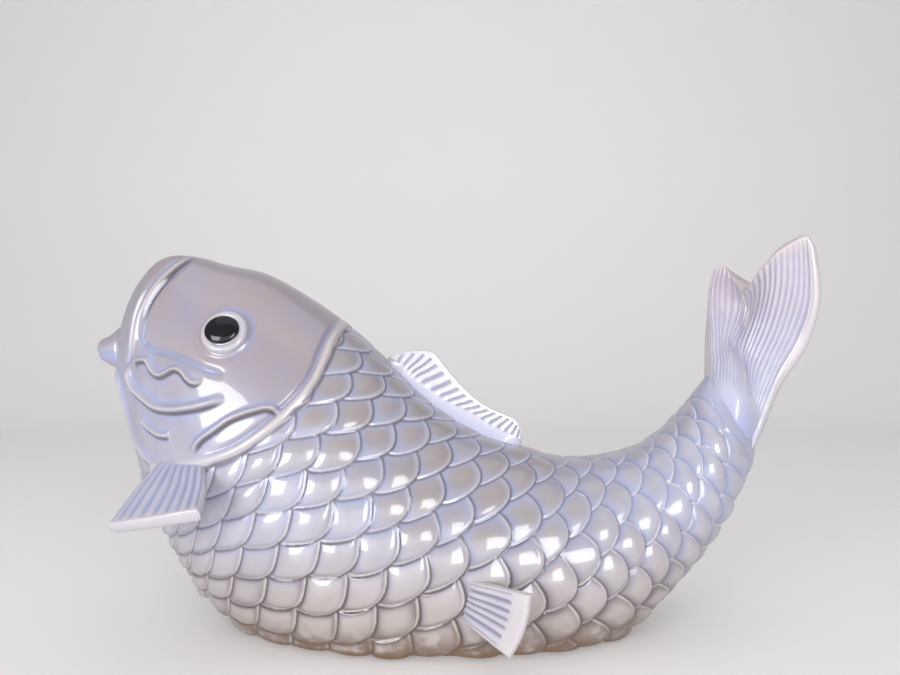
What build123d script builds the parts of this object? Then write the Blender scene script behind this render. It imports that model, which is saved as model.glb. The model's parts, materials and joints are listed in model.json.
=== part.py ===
from build123d import *
import math
import os

# Hollow glazed ceramic carp: it lies on its belly with the head raised at -X and the tail raised at +X.
# The near flank of the usual view faces -Y, which is the carp's own left. The origin is on the table.

# Driving sizes, in millimetres
fish_length = 410.0  # from the lips to the outermost rim of the tail
body_height = 208.0  # from the table to the top of the snout
body_width = 130.0  # across the flanks at their widest
wall = 6.0  # thickness of the cast clay
foot_wall = 8.0  # thickness of the clay at the foot
pad_thickness = 1.3  # felt sheet under the foot
pad_inset = 4.0  # from the edge of the foot to the edge of the felt
vent_radius = 9.0  # vent hole of the casting, in the foot
gill_step = 2.0  # how far the gill covers stand out over the scales
overrun = 5.0  # how far a cutting solid passes what it cuts

# Scales
scale_height = 21.0  # round the body, from corner to corner
scale_reach = 5.0  # how far the middle of a scale reaches past its corners
scale_rise = 1.2  # how far a free edge stands out
scale_sink = 1.0  # how far a root lies in
scale_round_share = 0.33  # the most that a scale reaches, as a share of the gap between its corners

# Eyes
eyeball_radius = 16.0
eyeball_across = 23.0
pupil_length = 17.0
pupil_height = 13.5
pupil_rise = 1.0
pupil_lift = 1.8  # above the middle of the eyeball

# Lips
lip_length = 17.0
lip_base_radius = 11.5
lip_waist_radius = 8.3
lip_tip_radius = 4.0
mouth_gap = 1.2
mouth_depth = 6.0

# Fins
fin_groove_depth = 0.9
fin_edge_rounding = 1.2
groove_width_share = 0.5  # of the space between two grooves
root_sink = 10.0  # how far a fin blank reaches into the body before it is cut to the skin
dorsal_thickness = 6.0
dorsal_rim = 4.0
dorsal_rib_count = 18
pectoral_length = 43.0
pectoral_root_width = 28.0
pectoral_tip_width = 47.0
pectoral_thickness = 5.5
pectoral_droop = 27.0
pectoral_groove_count = 8
pelvic_length = 31.0
pelvic_root_width = 20.0
pelvic_tip_width = 34.0
pelvic_thickness = 4.5
pelvic_splay = 36.0
pelvic_droop = 12.0
pelvic_groove_count = 6
tail_length = 98.0
tail_root_thickness = 24.0
tail_tip_thickness = 5.0
tail_rib_count = 14
tail_rib_depth = 0.9
tail_rim_share = 0.9  # how far the tail thins towards its side rims

# Each row is one cross-section of the body, from the face to the root of the tail. A section is an
# ellipse between a point on the back and a point on the belly: back x, back z, belly x, belly z and
# half width, as shares of fish_length, body_height and body_width.
section_shares = [
    (-0.459, 0.765, -0.459, 0.712, 0.031),
    (-0.454, 0.828, -0.458, 0.655, 0.069),
    (-0.443, 0.903, -0.453, 0.592, 0.123),
    (-0.424, 0.962, -0.441, 0.530, 0.177),
    (-0.400, 1.000, -0.427, 0.460, 0.231),
    (-0.363, 1.002, -0.412, 0.370, 0.292),
    (-0.314, 0.977, -0.393, 0.287, 0.354),
    (-0.259, 0.952, -0.370, 0.197, 0.408),
    (-0.200, 0.888, -0.339, 0.108, 0.446),
    (-0.139, 0.803, -0.300, 0.030, 0.477),
    (-0.081, 0.697, -0.237, -0.048, 0.490),
    (-0.024, 0.593, -0.151, -0.118, 0.492),
    (0.037, 0.519, -0.056, -0.135, 0.485),
    (0.100, 0.475, 0.043, -0.139, 0.465),
    (0.154, 0.443, 0.139, -0.106, 0.430),
    (0.207, 0.446, 0.220, -0.030, 0.385),
    (0.258, 0.467, 0.279, 0.060, 0.331),
    (0.300, 0.514, 0.334, 0.170, 0.275),
    (0.330, 0.575, 0.381, 0.295, 0.220),
    (0.350, 0.630, 0.420, 0.424, 0.160),
    (0.363, 0.673, 0.441, 0.558, 0.095),
]

# First and last section of the hollow inside, of the head that stands out, and of the flat foot
trunk_sections = (3, 18)
head_sections = (0, 11)
throat_sections = (0, 6)
foot_sections = (11, 14)

# Where each row of scales starts, ends and is cut to its scallops, in sections from the front of a row
scaled_sections = (6, 20)
row_pitch_share = 0.5
row_overlap_share = 0.25
row_tip_share = 0.9

# Outline of the dorsal fin above the back, from front to rear, in shares of the length and height
dorsal_edge_shares = [
    (-0.084, 0.722),
    (-0.055, 0.741),
    (-0.036, 0.746),
    (-0.022, 0.733),
    (-0.001, 0.687),
    (0.023, 0.631),
    (0.044, 0.593),
    (0.065, 0.573),
    (0.085, 0.556),
    (0.096, 0.533),
    (0.101, 0.487),
]

# Side view of the head's edge: down the gill cover, round its corner and forward along the throat
gill_edge_shares = [(-0.150, 0.860), (-0.159, 0.800), (-0.176, 0.714), (-0.203, 0.623), (-0.235, 0.553)]
gill_corner_share = (-0.272, 0.490)
throat_end_share = (-0.480, 0.425)

# Where things sit on the body: section number, and angle in degrees from the back down the flank
eye_place = (7.0, 57.0)
pectoral_place = (6.9, 106.0)
pelvic_place = (12.45, 97.0)

# Line along which the ribs of the dorsal fin start, from front to rear
dorsal_foot_shares = [(-0.071, 0.698), (-0.050, 0.650), (-0.013, 0.603), (0.053, 0.531), (0.098, 0.495)]
dorsal_first_rib_share = 0.28  # of the way along the outline

# Cross-sections of the twisted tail, from inside the body to past the tips: x, y and z of the upper
# edge and then of the lower edge, from the root point and as shares of tail_length.
tail_root_share = (0.410, 0.611)
tail_edge_shares = [
    (-0.180, 0.020, 0.060, 0.100, -0.020, -0.130),
    (-0.163, 0.050, 0.100, 0.168, -0.030, -0.046),
    (-0.138, 0.122, 0.255, 0.245, -0.080, 0.143),
    (-0.107, 0.184, 0.440, 0.347, -0.153, 0.388),
    (-0.077, 0.245, 0.633, 0.383, -0.194, 0.643),
    (-0.040, 0.276, 0.816, 0.372, -0.214, 0.837),
    (0.000, 0.286, 1.020, 0.316, -0.214, 1.020),
]

# Rear margin of the tail in the side view, from the root point: the upper lobe, the notch and the
# lower lobe, as shares of tail_length
upper_lobe_shares = [(-0.090, 0.680), (-0.045, 0.761), (0.007, 0.814), (0.053, 0.784), (0.084, 0.728)]
notch_share = (0.087, 0.679)
lower_lobe_shares = [(0.153, 0.810), (0.231, 0.902), (0.315, 0.952), (0.350, 0.907), (0.395, 0.790)]


def blend(before, start, end, after, share):
    """Smooth value between start and end, led by the values on each side of them."""
    bend = 2 * before - 5 * start + 4 * end - after
    twist = -before + 3 * start - 3 * end + after
    return start + share * ((end - before) + share * (bend + share * twist)) / 2


def section_row(place):
    """Table row at any place between the numbered sections."""
    last = len(section_shares) - 1
    first = min(int(place), last - 1)
    rows = [section_shares[min(max(first + step, 0), last)] for step in (-1, 0, 1, 2)]
    return [blend(*column, place - first) for column in zip(*rows)]


def section_size(place):
    """Centre, upward direction, half height and half width of the section at a place."""
    back_x, back_z, belly_x, belly_z, width = section_row(place)
    back = Vector(back_x * fish_length, 0, back_z * body_height)
    belly = Vector(belly_x * fish_length, 0, belly_z * body_height)
    return (back + belly) / 2, (back - belly).normalized(), (back - belly).length / 2, width * body_width


def section_face(place, offset):
    """Ellipse of one section, grown outwards by an offset."""
    centre, upward, half_height, half_width = section_size(place)
    plane = Plane(origin=centre, x_dir=upward, z_dir=upward.cross(Vector(0, 1, 0)))
    return plane * Ellipse(half_height + offset, half_width + offset)


def body_loft(first, last, offset):
    return loft([section_face(place, offset) for place in range(first, last + 1)])


def skin_point(place, angle):
    """Point on the near flank, and the direction that leaves the skin there."""
    centre, upward, half_height, half_width = section_size(place)
    rise = math.cos(math.radians(angle))
    side = math.sin(math.radians(angle))
    outward = upward * (rise / half_height) + Vector(0, -side / half_width, 0)
    return centre + upward * (half_height * rise) + Vector(0, -half_width * side, 0), outward.normalized()


def side_prism(points, across):
    """Prism through the whole body from an outline in the side view."""
    outline = make_face(Polyline(*[(x, z) for x, z in points], close=True))
    return extrude(Plane.XZ * outline, amount=across, both=True)


def scale_corners(place, count):
    """Side-view corners between the scales of one row, from the back to the belly, staggered row by row."""
    ring = [skin_point(place, angle)[0] for angle in range(181)]
    corners = [ring[0]]
    travelled = scale_height / 2 * (count % 2)
    for before, point in zip(ring, ring[1:]):
        travelled += (point - before).length
        if travelled > scale_height:
            travelled -= scale_height
            corners.append(point)
    if travelled < scale_height / 2:
        corners.pop()
    return [Vector(corner.X, corner.Z) for corner in [*corners, ring[-1]]]


def scale_row(count):
    """Slice of the body that flares towards the tail and ends in a scalloped edge."""
    start = scaled_sections[0] + count * row_pitch_share
    end = start + row_pitch_share
    root = start - row_overlap_share
    tip = min(start + row_tip_share, scaled_sections[1])
    middle = section_face((root + tip) / 2, (scale_rise - scale_sink) / 2)
    row = loft([section_face(root, -scale_sink), middle, section_face(tip, scale_rise)])
    if end >= scaled_sections[1]:
        return row
    upward = section_size(end)[1]
    clear = Vector(upward.X, upward.Z) * scale_height
    rearward = Vector(upward.Z, -upward.X)
    corners = scale_corners(end, count)
    edge = []
    for first, second in zip(corners, corners[1:]):
        reach = min(scale_reach, (second - first).length * scale_round_share)
        edge.append(ThreePointArc(first, (first + second) / 2 + rearward * reach, second))
    above_back = corners[0] + clear
    below_belly = corners[-1] - clear
    front = rearward * -body_width
    edge.append(Polyline(corners[-1], below_belly, below_belly + front, above_back + front, above_back, corners[0]))
    return row & extrude(Plane.XZ * make_face(edge), amount=body_width, both=True)


def mirrored(solid):
    return mirror(solid, about=Plane.XZ)


def make_lips():
    """Pursed lips: a flared cone with a rounded end and the closed mouth as a slot across it."""
    face_x = section_shares[0][0] * fish_length
    middle_z = (section_shares[0][1] + section_shares[0][3]) / 2 * body_height
    tip_x = -lip_length + root_sink / 2
    with BuildSketch(Plane.XZ) as profile:
        with BuildLine():
            flare = Spline((root_sink, lip_base_radius), (0, lip_waist_radius), (tip_x, lip_tip_radius))
            end = TangentArc(flare @ 1, (tip_x - lip_tip_radius, 0), tangent=flare % 1)
            Line(end @ 1, (root_sink, 0))
            Line((root_sink, 0), flare @ 0)
        make_face()
    cone = revolve(profile.sketch, Axis.X)
    slot_x = tip_x - lip_tip_radius + (mouth_depth - overrun) / 2
    slot = Pos(slot_x, 0, 0) * Box(mouth_depth + overrun, lip_base_radius * 2, mouth_gap)
    return Pos(face_x, 0, middle_z) * (cone - slot)


def head_region():
    """Prism in front of the gill covers and above the throat."""
    edge = [(x * fish_length, z * body_height) for x, z in gill_edge_shares]
    corner = (gill_corner_share[0] * fish_length, gill_corner_share[1] * body_height)
    throat = (throat_end_share[0] * fish_length, throat_end_share[1] * body_height)
    reach = fish_length / 2 + lip_length + overrun
    top = body_height + overrun * 2
    points = [(edge[0][0], top), *edge, corner, throat, (-reach, throat[1]), (-reach, top)]
    return side_prism(points, body_width)


def above(height):
    """Everything from a height upwards."""
    size = fish_length * 2
    return Pos(0, 0, height + size / 2) * Box(size, size, size)


def make_outer():
    """Outside of the casting: rows of scales, the head that stands out over them, the lips and the cut foot."""
    throat = body_loft(*throat_sections, 0)
    head = body_loft(*head_sections, gill_step) & head_region()
    row_count = round((scaled_sections[1] - scaled_sections[0]) / row_pitch_share)
    rows = [scale_row(count) for count in range(row_count)]
    return throat.fuse(head, make_lips(), *rows) & above(pad_thickness)


def make_hollow():
    cavity = body_loft(*trunk_sections, -wall)
    return cavity & above(pad_thickness + foot_wall)


def make_pad():
    """Felt sheet, drawn in from the edge of the foot."""
    sheet = body_loft(*trunk_sections, -pad_inset) & above(0)
    return sheet - above(pad_thickness)


def make_casting(outer):
    front, rear = [section_size(place)[0] - section_size(place)[1] * section_size(place)[2] for place in foot_sections]
    vent = Pos((front.X + rear.X) / 2, 0, pad_thickness + foot_wall / 2) * Cylinder(vent_radius, foot_wall + overrun)
    return outer - make_hollow() - vent


def fan_blade(length, root_width, tip_width, thickness, grooves):
    """Fan fin lying flat: it leaves the body along +X, with fanned grooves on its upper face."""
    slope = (tip_width - root_width) / length
    sink_width = root_width - slope * root_sink
    with BuildSketch() as outline:
        with BuildLine():
            lower = Line((-root_sink, -sink_width / 2), (length, -tip_width / 2))
            rim = ThreePointArc(lower @ 1, (length + thickness, 0), (length, tip_width / 2))
            upper = Line(rim @ 1, (-root_sink, sink_width / 2))
            Line(upper @ 1, lower @ 0)
        make_face()
    blade = extrude(outline.sketch, amount=thickness / 2, both=True)
    blade = fillet(blade.edges().filter_by(Axis.Z).group_by(Axis.X)[-1], thickness)
    blade = fillet(blade.edges().group_by(Axis.Z)[-1] + blade.edges().group_by(Axis.Z)[0], fin_edge_rounding)
    apex_x = -root_width / slope
    spread = 2 * math.degrees(math.atan2(slope, 2))
    pitch = spread / (grooves + 1)
    half_groove = (length - apex_x) * math.tan(math.radians(pitch)) * groove_width_share / 2
    groove = Pos(-root_sink - overrun, 0, 0) * side_groove(half_groove, length + root_sink + overrun - thickness / 2)
    for count in range(grooves):
        turn = (count - (grooves - 1) / 2) * pitch
        blade -= Pos(apex_x, 0, thickness / 2) * Rot(0, 0, turn) * Pos(-apex_x, 0, 0) * groove
    return blade


def side_groove(half_width, length):
    """Vee groove cutter along +X, with its open side up."""
    vee = Polyline((-half_width, fin_groove_depth), (0, -fin_groove_depth), (half_width, fin_groove_depth), close=True)
    return extrude(Plane.YZ * make_face(vee), amount=length)


def seated_fin(blade, place, outward, span):
    """Fin blade stood on the near flank, along outward, with its width along span."""
    root, _ = skin_point(*place)
    plane = Plane(origin=root, x_dir=outward, z_dir=outward.cross(span))
    return plane * blade


def pectoral_fin(outer):
    blade = fan_blade(
        pectoral_length, pectoral_root_width, pectoral_tip_width, pectoral_thickness, pectoral_groove_count
    )
    root, normal = skin_point(*pectoral_place)
    level = Vector(normal.X, normal.Y, 0).normalized()
    droop = math.radians(pectoral_droop)
    outward = level * math.cos(droop) + Vector(0, 0, -math.sin(droop))
    span = Vector(0, 0, 1).cross(outward).normalized()
    return seated_fin(blade, pectoral_place, outward, span) - outer


def pelvic_fin(outer):
    blade = fan_blade(pelvic_length, pelvic_root_width, pelvic_tip_width, pelvic_thickness, pelvic_groove_count)
    splay = math.radians(pelvic_splay)
    droop = math.radians(pelvic_droop)
    level = Vector(math.cos(splay), -math.sin(splay), 0)
    outward = level * math.cos(droop) + Vector(0, 0, -math.sin(droop))
    span = level * math.sin(droop) + Vector(0, 0, math.cos(droop))
    return seated_fin(blade, pelvic_place, outward, span) - outer


def dorsal_fin(outer):
    """Upright fin on the ridge of the back, with a smooth rim above its fanned ribs."""
    edge = [(x * fish_length, z * body_height) for x, z in dorsal_edge_shares]
    feet = Spline(*[(x * fish_length, z * body_height) for x, z in dorsal_foot_shares])
    with BuildSketch() as outline:
        with BuildLine():
            top = Spline(*edge)
            rear = Line(top @ 1, top @ 1 - Vector(root_sink, root_sink))
            front = Line(rear @ 1, top @ 0 - Vector(0, root_sink))
            Line(front @ 1, top @ 0)
        make_face()
    blade = extrude(Plane.XZ * outline.sketch, amount=dorsal_thickness / 2, both=True)
    half_groove = feet.length / (dorsal_rib_count + 1) * groove_width_share / 2
    for count in range(dorsal_rib_count):
        share = (count + 1) / (dorsal_rib_count + 1)
        foot = feet @ share
        run = top @ (dorsal_first_rib_share + (1 - dorsal_first_rib_share) * share) - foot
        groove = side_groove(half_groove, max(run.length - dorsal_rim, half_groove))
        for side in (-1, 1):
            start = Vector(foot.X, side * dorsal_thickness / 2, foot.Y)
            blade -= Plane(origin=start, x_dir=(run.X, 0, run.Y), z_dir=(0, side, 0)) * groove
    return blade - outer


def tail_section(upper, lower, thickness):
    """Ribbed cross-section of the tail between two edge points, thinner towards both rims."""
    across = (lower - upper) / 2
    middle = (lower + upper) / 2
    normal = across.cross(Vector(0, 0, 1)).normalized()
    steps = 2 * tail_rib_count
    sides = {}
    for side in (1, -1):
        points = []
        for step in range(steps + 1):
            place = 2 * step / steps - 1
            body = thickness / 2 * math.sqrt(1 - tail_rim_share * place**2)
            ridge = tail_rib_depth * (step % 2)
            points.append(middle + across * place + normal * (side * (body + ridge - tail_rib_depth / 2)))
        sides[side] = points
    return make_face(Polyline(*sides[1], *reversed(sides[-1]), close=True))


def tail_fin(outer):
    """Twisted, ribbed tail, trimmed to two lobes with a notch between them."""
    root = Vector(tail_root_share[0] * fish_length, 0, tail_root_share[1] * body_height)
    last = len(tail_edge_shares) - 1
    sections = []
    for count, row in enumerate(tail_edge_shares):
        upper = root + Vector(*row[:3]) * tail_length
        lower = root + Vector(*row[3:]) * tail_length
        thickness = tail_tip_thickness + (tail_root_thickness - tail_tip_thickness) * (1 - count / last) ** 2
        sections.append(tail_section(upper, lower, thickness))
    blade = loft(sections, ruled=True)
    side_root = (root.X, root.Z)
    upper_lobe = [(side_root[0] + x * tail_length, side_root[1] + z * tail_length) for x, z in upper_lobe_shares]
    lower_lobe = [(side_root[0] + x * tail_length, side_root[1] + z * tail_length) for x, z in lower_lobe_shares]
    notch = (side_root[0] + notch_share[0] * tail_length, side_root[1] + notch_share[1] * tail_length)
    top = side_root[1] + tail_length * 2
    with BuildSketch() as trim:
        with BuildLine():
            first = Spline(*upper_lobe, notch)
            second = Spline(notch, *lower_lobe)
            corner = Line(second @ 1, (side_root[0] + tail_length, (second @ 1).Y))
            rise = Line(corner @ 1, (side_root[0] + tail_length, top))
            back = Line(rise @ 1, (side_root[0] - tail_length, top))
            fall = Line(back @ 1, (side_root[0] - tail_length, (first @ 0).Y))
            Line(fall @ 1, first @ 0)
        make_face()
    return blade - extrude(Plane.XZ * trim.sketch, amount=tail_length, both=True) - outer


def make_eye(outer):
    """Eyeball dome and the dark pupil on it."""
    skin, outward = skin_point(*eye_place)
    surface = skin + outward * gill_step
    centre = surface - outward * math.sqrt(eyeball_radius**2 - (eyeball_across / 2) ** 2)
    eyeball = Pos(*centre) * Sphere(eyeball_radius) - outer
    plane = Plane(origin=centre, x_dir=Vector(0, 0, 1).cross(outward), z_dir=outward)
    disc = extrude(Pos(0, pupil_lift) * Ellipse(pupil_length / 2, pupil_height / 2), amount=eyeball_radius * 2)
    shell = Pos(*centre) * Sphere(eyeball_radius + pupil_rise) - Pos(*centre) * Sphere(eyeball_radius)
    return eyeball, shell & (plane * disc)


outer = make_outer()
eyeball, pupil = make_eye(outer)
left_pectoral = pectoral_fin(outer)
left_pelvic = pelvic_fin(outer)
parts = {
    "body_casting": make_casting(outer),
    "tail_fin": tail_fin(outer),
    "dorsal_fin": dorsal_fin(outer),
    "pectoral_fin_left": left_pectoral,
    "pectoral_fin_right": mirrored(left_pectoral),
    "pelvic_fin_left": left_pelvic,
    "pelvic_fin_right": mirrored(left_pelvic),
    "eyeball_left": eyeball,
    "eyeball_right": mirrored(eyeball),
    "pupil_left": pupil,
    "pupil_right": mirrored(pupil),
    "foot_pad": make_pad(),
}

os.makedirs("parts", exist_ok=True)
for name, shape in parts.items():
    export_step(shape, f"parts/{name}.step")
    print(name, round(shape.volume), [round(value, 1) for value in shape.bounding_box().size])
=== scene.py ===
# %% [markdown]
# # A glazed carp that rests on its own foot
# The figurine is a hollow ceramic casting: a smooth head with pursed lips, rows of overlapping
# scales, five fins and a twisted tail, under a thick grey glaze that pools lavender in the hollows.
# Its packed CAD model, the frame, is loaded first. Every piece made here stands in for one of the
# frame's nodes, so both models share their sizes and their origin.

# %% Load the frame
import json

import bpy
import numpy as np
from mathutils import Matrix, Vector

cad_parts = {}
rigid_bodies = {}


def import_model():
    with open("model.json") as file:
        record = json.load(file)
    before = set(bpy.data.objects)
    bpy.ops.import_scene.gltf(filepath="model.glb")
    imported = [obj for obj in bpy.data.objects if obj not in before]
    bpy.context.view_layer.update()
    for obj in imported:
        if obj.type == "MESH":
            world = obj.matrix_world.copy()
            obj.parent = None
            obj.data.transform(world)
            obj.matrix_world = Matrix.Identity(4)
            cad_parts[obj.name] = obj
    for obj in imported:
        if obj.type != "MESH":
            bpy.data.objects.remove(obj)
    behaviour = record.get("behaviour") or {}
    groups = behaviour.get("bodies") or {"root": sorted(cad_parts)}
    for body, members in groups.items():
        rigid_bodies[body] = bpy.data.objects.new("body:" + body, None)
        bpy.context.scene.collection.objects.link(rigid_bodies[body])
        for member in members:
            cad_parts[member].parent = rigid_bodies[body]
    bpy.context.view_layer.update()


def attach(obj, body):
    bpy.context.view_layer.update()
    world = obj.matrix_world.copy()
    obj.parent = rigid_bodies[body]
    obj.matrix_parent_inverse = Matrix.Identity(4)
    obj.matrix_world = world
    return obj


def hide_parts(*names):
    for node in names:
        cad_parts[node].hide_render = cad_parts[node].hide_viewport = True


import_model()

# %% [markdown]
# ## The form of the body
# On the real carp the body is one cast shell that rises to the snout in front and to the root of the
# tail behind. It could be sculpted by eye, or pulled out of a sphere. Here it is a stack of tilted
# ellipses between a line along the back and a line along the belly, the same ones that the solid is
# lofted through, so the glazed skin lies on the solid all over.
# Lengths are in millimetres, as a potter would measure them, and become metres when a mesh is made.

# %% Sizes of the body
mm = 0.001
fish_length = 410.0
body_height = 208.0
body_width = 130.0
section_size = (fish_length, body_height, fish_length, body_height, body_width)
print("size of the carp in millimetres:", fish_length, body_height, body_width)

# %% [markdown]
# Twenty sections from the face to the root of the tail hold the whole form of the body, and four
# more hold the lips. They could be written in millimetres, but as shares of the three sizes they
# keep their form when a size is changed.

# %% Sections of the body
# Back x, back z, belly x, belly z and half width of each section, as shares of the sizes above
section_shares = [
    (-0.454, 0.828, -0.458, 0.655, 0.069),
    (-0.443, 0.903, -0.453, 0.592, 0.123),
    (-0.424, 0.962, -0.441, 0.530, 0.177),
    (-0.400, 1.000, -0.427, 0.460, 0.231),
    (-0.363, 1.002, -0.412, 0.370, 0.292),
    (-0.314, 0.977, -0.393, 0.287, 0.354),
    (-0.259, 0.952, -0.370, 0.197, 0.408),
    (-0.200, 0.888, -0.339, 0.108, 0.446),
    (-0.139, 0.803, -0.300, 0.030, 0.477),
    (-0.081, 0.697, -0.237, -0.048, 0.490),
    (-0.024, 0.593, -0.151, -0.118, 0.492),
    (0.037, 0.519, -0.056, -0.135, 0.485),
    (0.100, 0.475, 0.043, -0.139, 0.465),
    (0.154, 0.443, 0.139, -0.106, 0.430),
    (0.207, 0.446, 0.220, -0.030, 0.385),
    (0.258, 0.467, 0.279, 0.060, 0.331),
    (0.300, 0.514, 0.334, 0.170, 0.275),
    (0.330, 0.575, 0.381, 0.295, 0.220),
    (0.350, 0.630, 0.420, 0.424, 0.160),
    (0.363, 0.673, 0.441, 0.558, 0.095),
]
# The pursed lips in front of the first section, in millimetres, from the tip to the face
lip_sections = [
    (-204.2, 156.0, -204.2, 154.6, 0.8),
    (-202.2, 160.0, -201.8, 150.0, 4.6),
    (-197.2, 162.4, -196.4, 147.0, 6.6),
    (-191.6, 167.0, -190.4, 143.6, 8.8),
]
sections = np.array(lip_sections + [tuple(np.multiply(row, section_size)) for row in section_shares])
first_place = 1.0 - len(lip_sections)  # the first full section is place 1, the lips lie below it
last_place = first_place + len(sections) - 1
print("sections:", len(sections), "from place", first_place, "to", last_place)

# %% [markdown]
# A place is a section number, and it may lie between two sections. Straight lines between the
# sections would leave kinks all along the belly, so the values follow a Catmull-Rom curve, which
# runs through every row of the table and bends softly between the rows.


# %% Points of the body
def between(table, steps):
    """Values on one smooth curve through the rows of a table, at fractions of a row."""
    last = len(table) - 1
    row = np.clip(np.floor(steps).astype(int), 0, last - 1)
    share = (steps - row).reshape(steps.shape + (1,) * (table.ndim - 1))
    before, start, end, after = (table[np.clip(row + step, 0, last)] for step in (-1, 0, 1, 2))
    bend = 2 * before - 5 * start + 4 * end - after
    twist = -before + 3 * start - 3 * end + after
    return start + share * ((end - before) + share * (bend + share * twist)) / 2


def on_body(places, angles):
    """Points of the left flank: section places, and angles from the back round to the belly."""
    measures = between(sections, places - first_place)
    back_x, back_z, belly_x, belly_z, half_width = np.moveaxis(measures, -1, 0)
    x = (back_x + belly_x) / 2 + (back_x - belly_x) / 2 * np.cos(angles)
    z = (back_z + belly_z) / 2 + (back_z - belly_z) / 2 * np.cos(angles)
    return np.stack([x, -half_width * np.sin(angles), z], -1)


tip_of_lips = on_body(np.array([first_place]), np.array([0.0]))[0]
print("tip of the lips:", tip_of_lips.round(1))

# %% [markdown]
# Three small words do most of the shaping from here on. A soft step passes from 0 to 1 without a
# kink, a ridge is a soft rise along a line, and a mix lies between two values. They could be drawn as
# curves in a node, but as plain functions they work on the whole net at once.


# %% Soft steps, ridges and mixes
def soft_step(value, start, end):
    """0 before the start, 1 after the end and a soft ramp between them."""
    share = np.clip((value - start) / (end - start), 0, 1)
    return share * share * (3 - 2 * share)


def ridge(distance, width):
    """1 on a line and a soft fall to nothing about twice the width away."""
    return np.exp(-(distance / width) ** 2)


def mix(pair, share):
    """The first value at share 0, the second at share 1."""
    return pair[0] + (pair[1] - pair[0]) * share


print("a ridge one width away from its line:", round(float(ridge(1.0, 1.0)), 3))

# %% [markdown]
# ## The lattice of scales
# Each scale overlaps the one behind it, as roof tiles do. One could model a single scale and copy it
# hundreds of times, but on a cast figurine the scales aren't loose: they are steps in one skin,
# softened by glaze. So the skin is a dense net, and every point of it is raised by the scale that
# lies on top there. Two numbers say where a point is in the pattern: its ring, counted towards the
# tail, and its course, counted from the back down the flank.

# %% Rings and courses of scales
pattern_places = np.arange(2, 23, 2)  # where along the body the four rows below are given
ring_at_back = np.array([-19.0, -15.1, -11.3, -7.39, -3.45, 0.58, 4.35, 8.35, 12.97, 17.61, 22.2])
ring_lean = np.array([0.6, 0.5, 0.3, 0.09, -0.19, -0.44, -0.74, -0.78, -0.65, -0.54, -0.5])
course_at_back = np.array([-7.9, -6.1, -4.4, -2.63, -0.91, 0.55, 1.72, 2.42, 2.43, 2.48, 2.5])
course_pitch = np.array([5.9, 5.4, 4.95, 4.52, 4.09, 3.81, 3.6, 3.23, 2.74, 2.26, 1.8])
lattice_depth = 80.0  # how far down the flank the lean and the pitch are counted over


def pattern_value(table, places):
    """Value of a pattern row at any place along the body."""
    steps = (places - pattern_places[0]) / (pattern_places[1] - pattern_places[0])
    return between(table, steps)


def lattice(places, depths):
    """Ring and course numbers at places along the body and depths down the flank."""
    down = depths / lattice_depth
    rings = pattern_value(ring_at_back, places) + pattern_value(ring_lean, places) * down
    courses = pattern_value(course_at_back, places) + pattern_value(course_pitch, places) * down
    return rings, courses


print("rings of scales along the back:", round(ring_at_back[-1] - ring_at_back[0]))

# %% [markdown]
# ## The shape of a scale
# On the chest a scale is an upright brick with soft corners, and towards the tail it turns into a
# leaf that points backwards. Low on the flank it swells like a small cushion. All of them are one
# rounded square, a superellipse, whose sides turn and whose corners soften from place to place.
# Modelled scales bent on to the body would leave gaps and crossings where it curves, and a formula
# that is asked at each point never does.

# %% Measures of a scale
# The turn of a scale is 0 where its edges lie along the rings and courses, about 0.45 where it is an
# upright brick and 1 where it is a leaf. These pairs give a value at turn 0 and at turn 1.
scale_centre = (0.15, 0.20)  # how far its middle lies before its lattice point, in scales
scale_reach = (0.72, 0.78)  # half its size, in scales
scale_squareness = (3.0, 2.2)  # power of the superellipse: 2 is round and more is squarer
side_slope = (0.42, 0.50)  # share of the lift towards the side edge, the rest is towards the tip
scale_lift = (2.6, 1.6)  # how far a free edge stands out over a root
pool_width = (1.8, 3.8)  # width of the glaze that pools outside a free edge

chest_turn = (0.46, 0.16)  # turn of a scale high and low on the chest
chest_depths = (60, 130)  # how far down the flank the one passes into the other
leaf_places = (10.5, 16.5)  # where along the body the scales turn into leaves


def scale_turn(places, depths):
    """How far the scales are turned at each point."""
    chest = mix(chest_turn, soft_step(depths, *chest_depths))
    return mix((chest, 1), soft_step(places, *leaf_places))


print("turn of a scale at the middle of the body:", round(float(scale_turn(12.0, 60.0)), 2))

# %% [markdown]
# High on the flank each scale is flat and crisp, with a bead of glaze along its edge. Low on the flank
# the scales swell and round off. Two sets of scales could be blended, but one number that fades from
# 0 to 1 over the skin does the same with one set of sums.

# %% Cushions
# The cushion of a scale is 0 where it is flat and crisp and 1 where it swells and its edge is round
scale_dome = (1.3, 1.9)  # swelling of a flat scale and of a full cushion
dome_fall = 3.2  # how soon the swelling falls off from the middle of a scale
dome_variety = 0.5  # share by which it differs from scale to scale
low_depths = (55, 115)  # how far down the flank the scales become cushions
rear_cushion = 0.5  # cushion of the scales near the tail
low_rear_places = (12, 16)  # where along the body the low scales pass into these
high_rear_places = (11, 15)  # where the high scales do
edge_rounding = 1.1  # how far the edge of a full cushion falls off
edge_rounding_width = 1.7  # this and the next three are in millimetres, from the free edge inwards
lip_rise = 0.3  # the bead of glaze along the edge of a flat scale
lip_inset = 1.4
lip_width = 1.0


def scale_cushion(places, depths):
    """How much of a cushion the scales are at each point."""
    low = soft_step(depths, *low_depths) * mix((1, rear_cushion), soft_step(places, *low_rear_places))
    return np.maximum(low, rear_cushion * soft_step(places, *high_rear_places))


print("cushion of a low scale on the chest:", float(scale_cushion(6.0, 120.0)))

# %% [markdown]
# A potter presses each scale by hand, so no two are quite alike. A random generator would need a long
# list with a place in it for each scale. A sine of large uneven factors gives numbers that look
# random too, and they belong to their scale by themselves.

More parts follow.
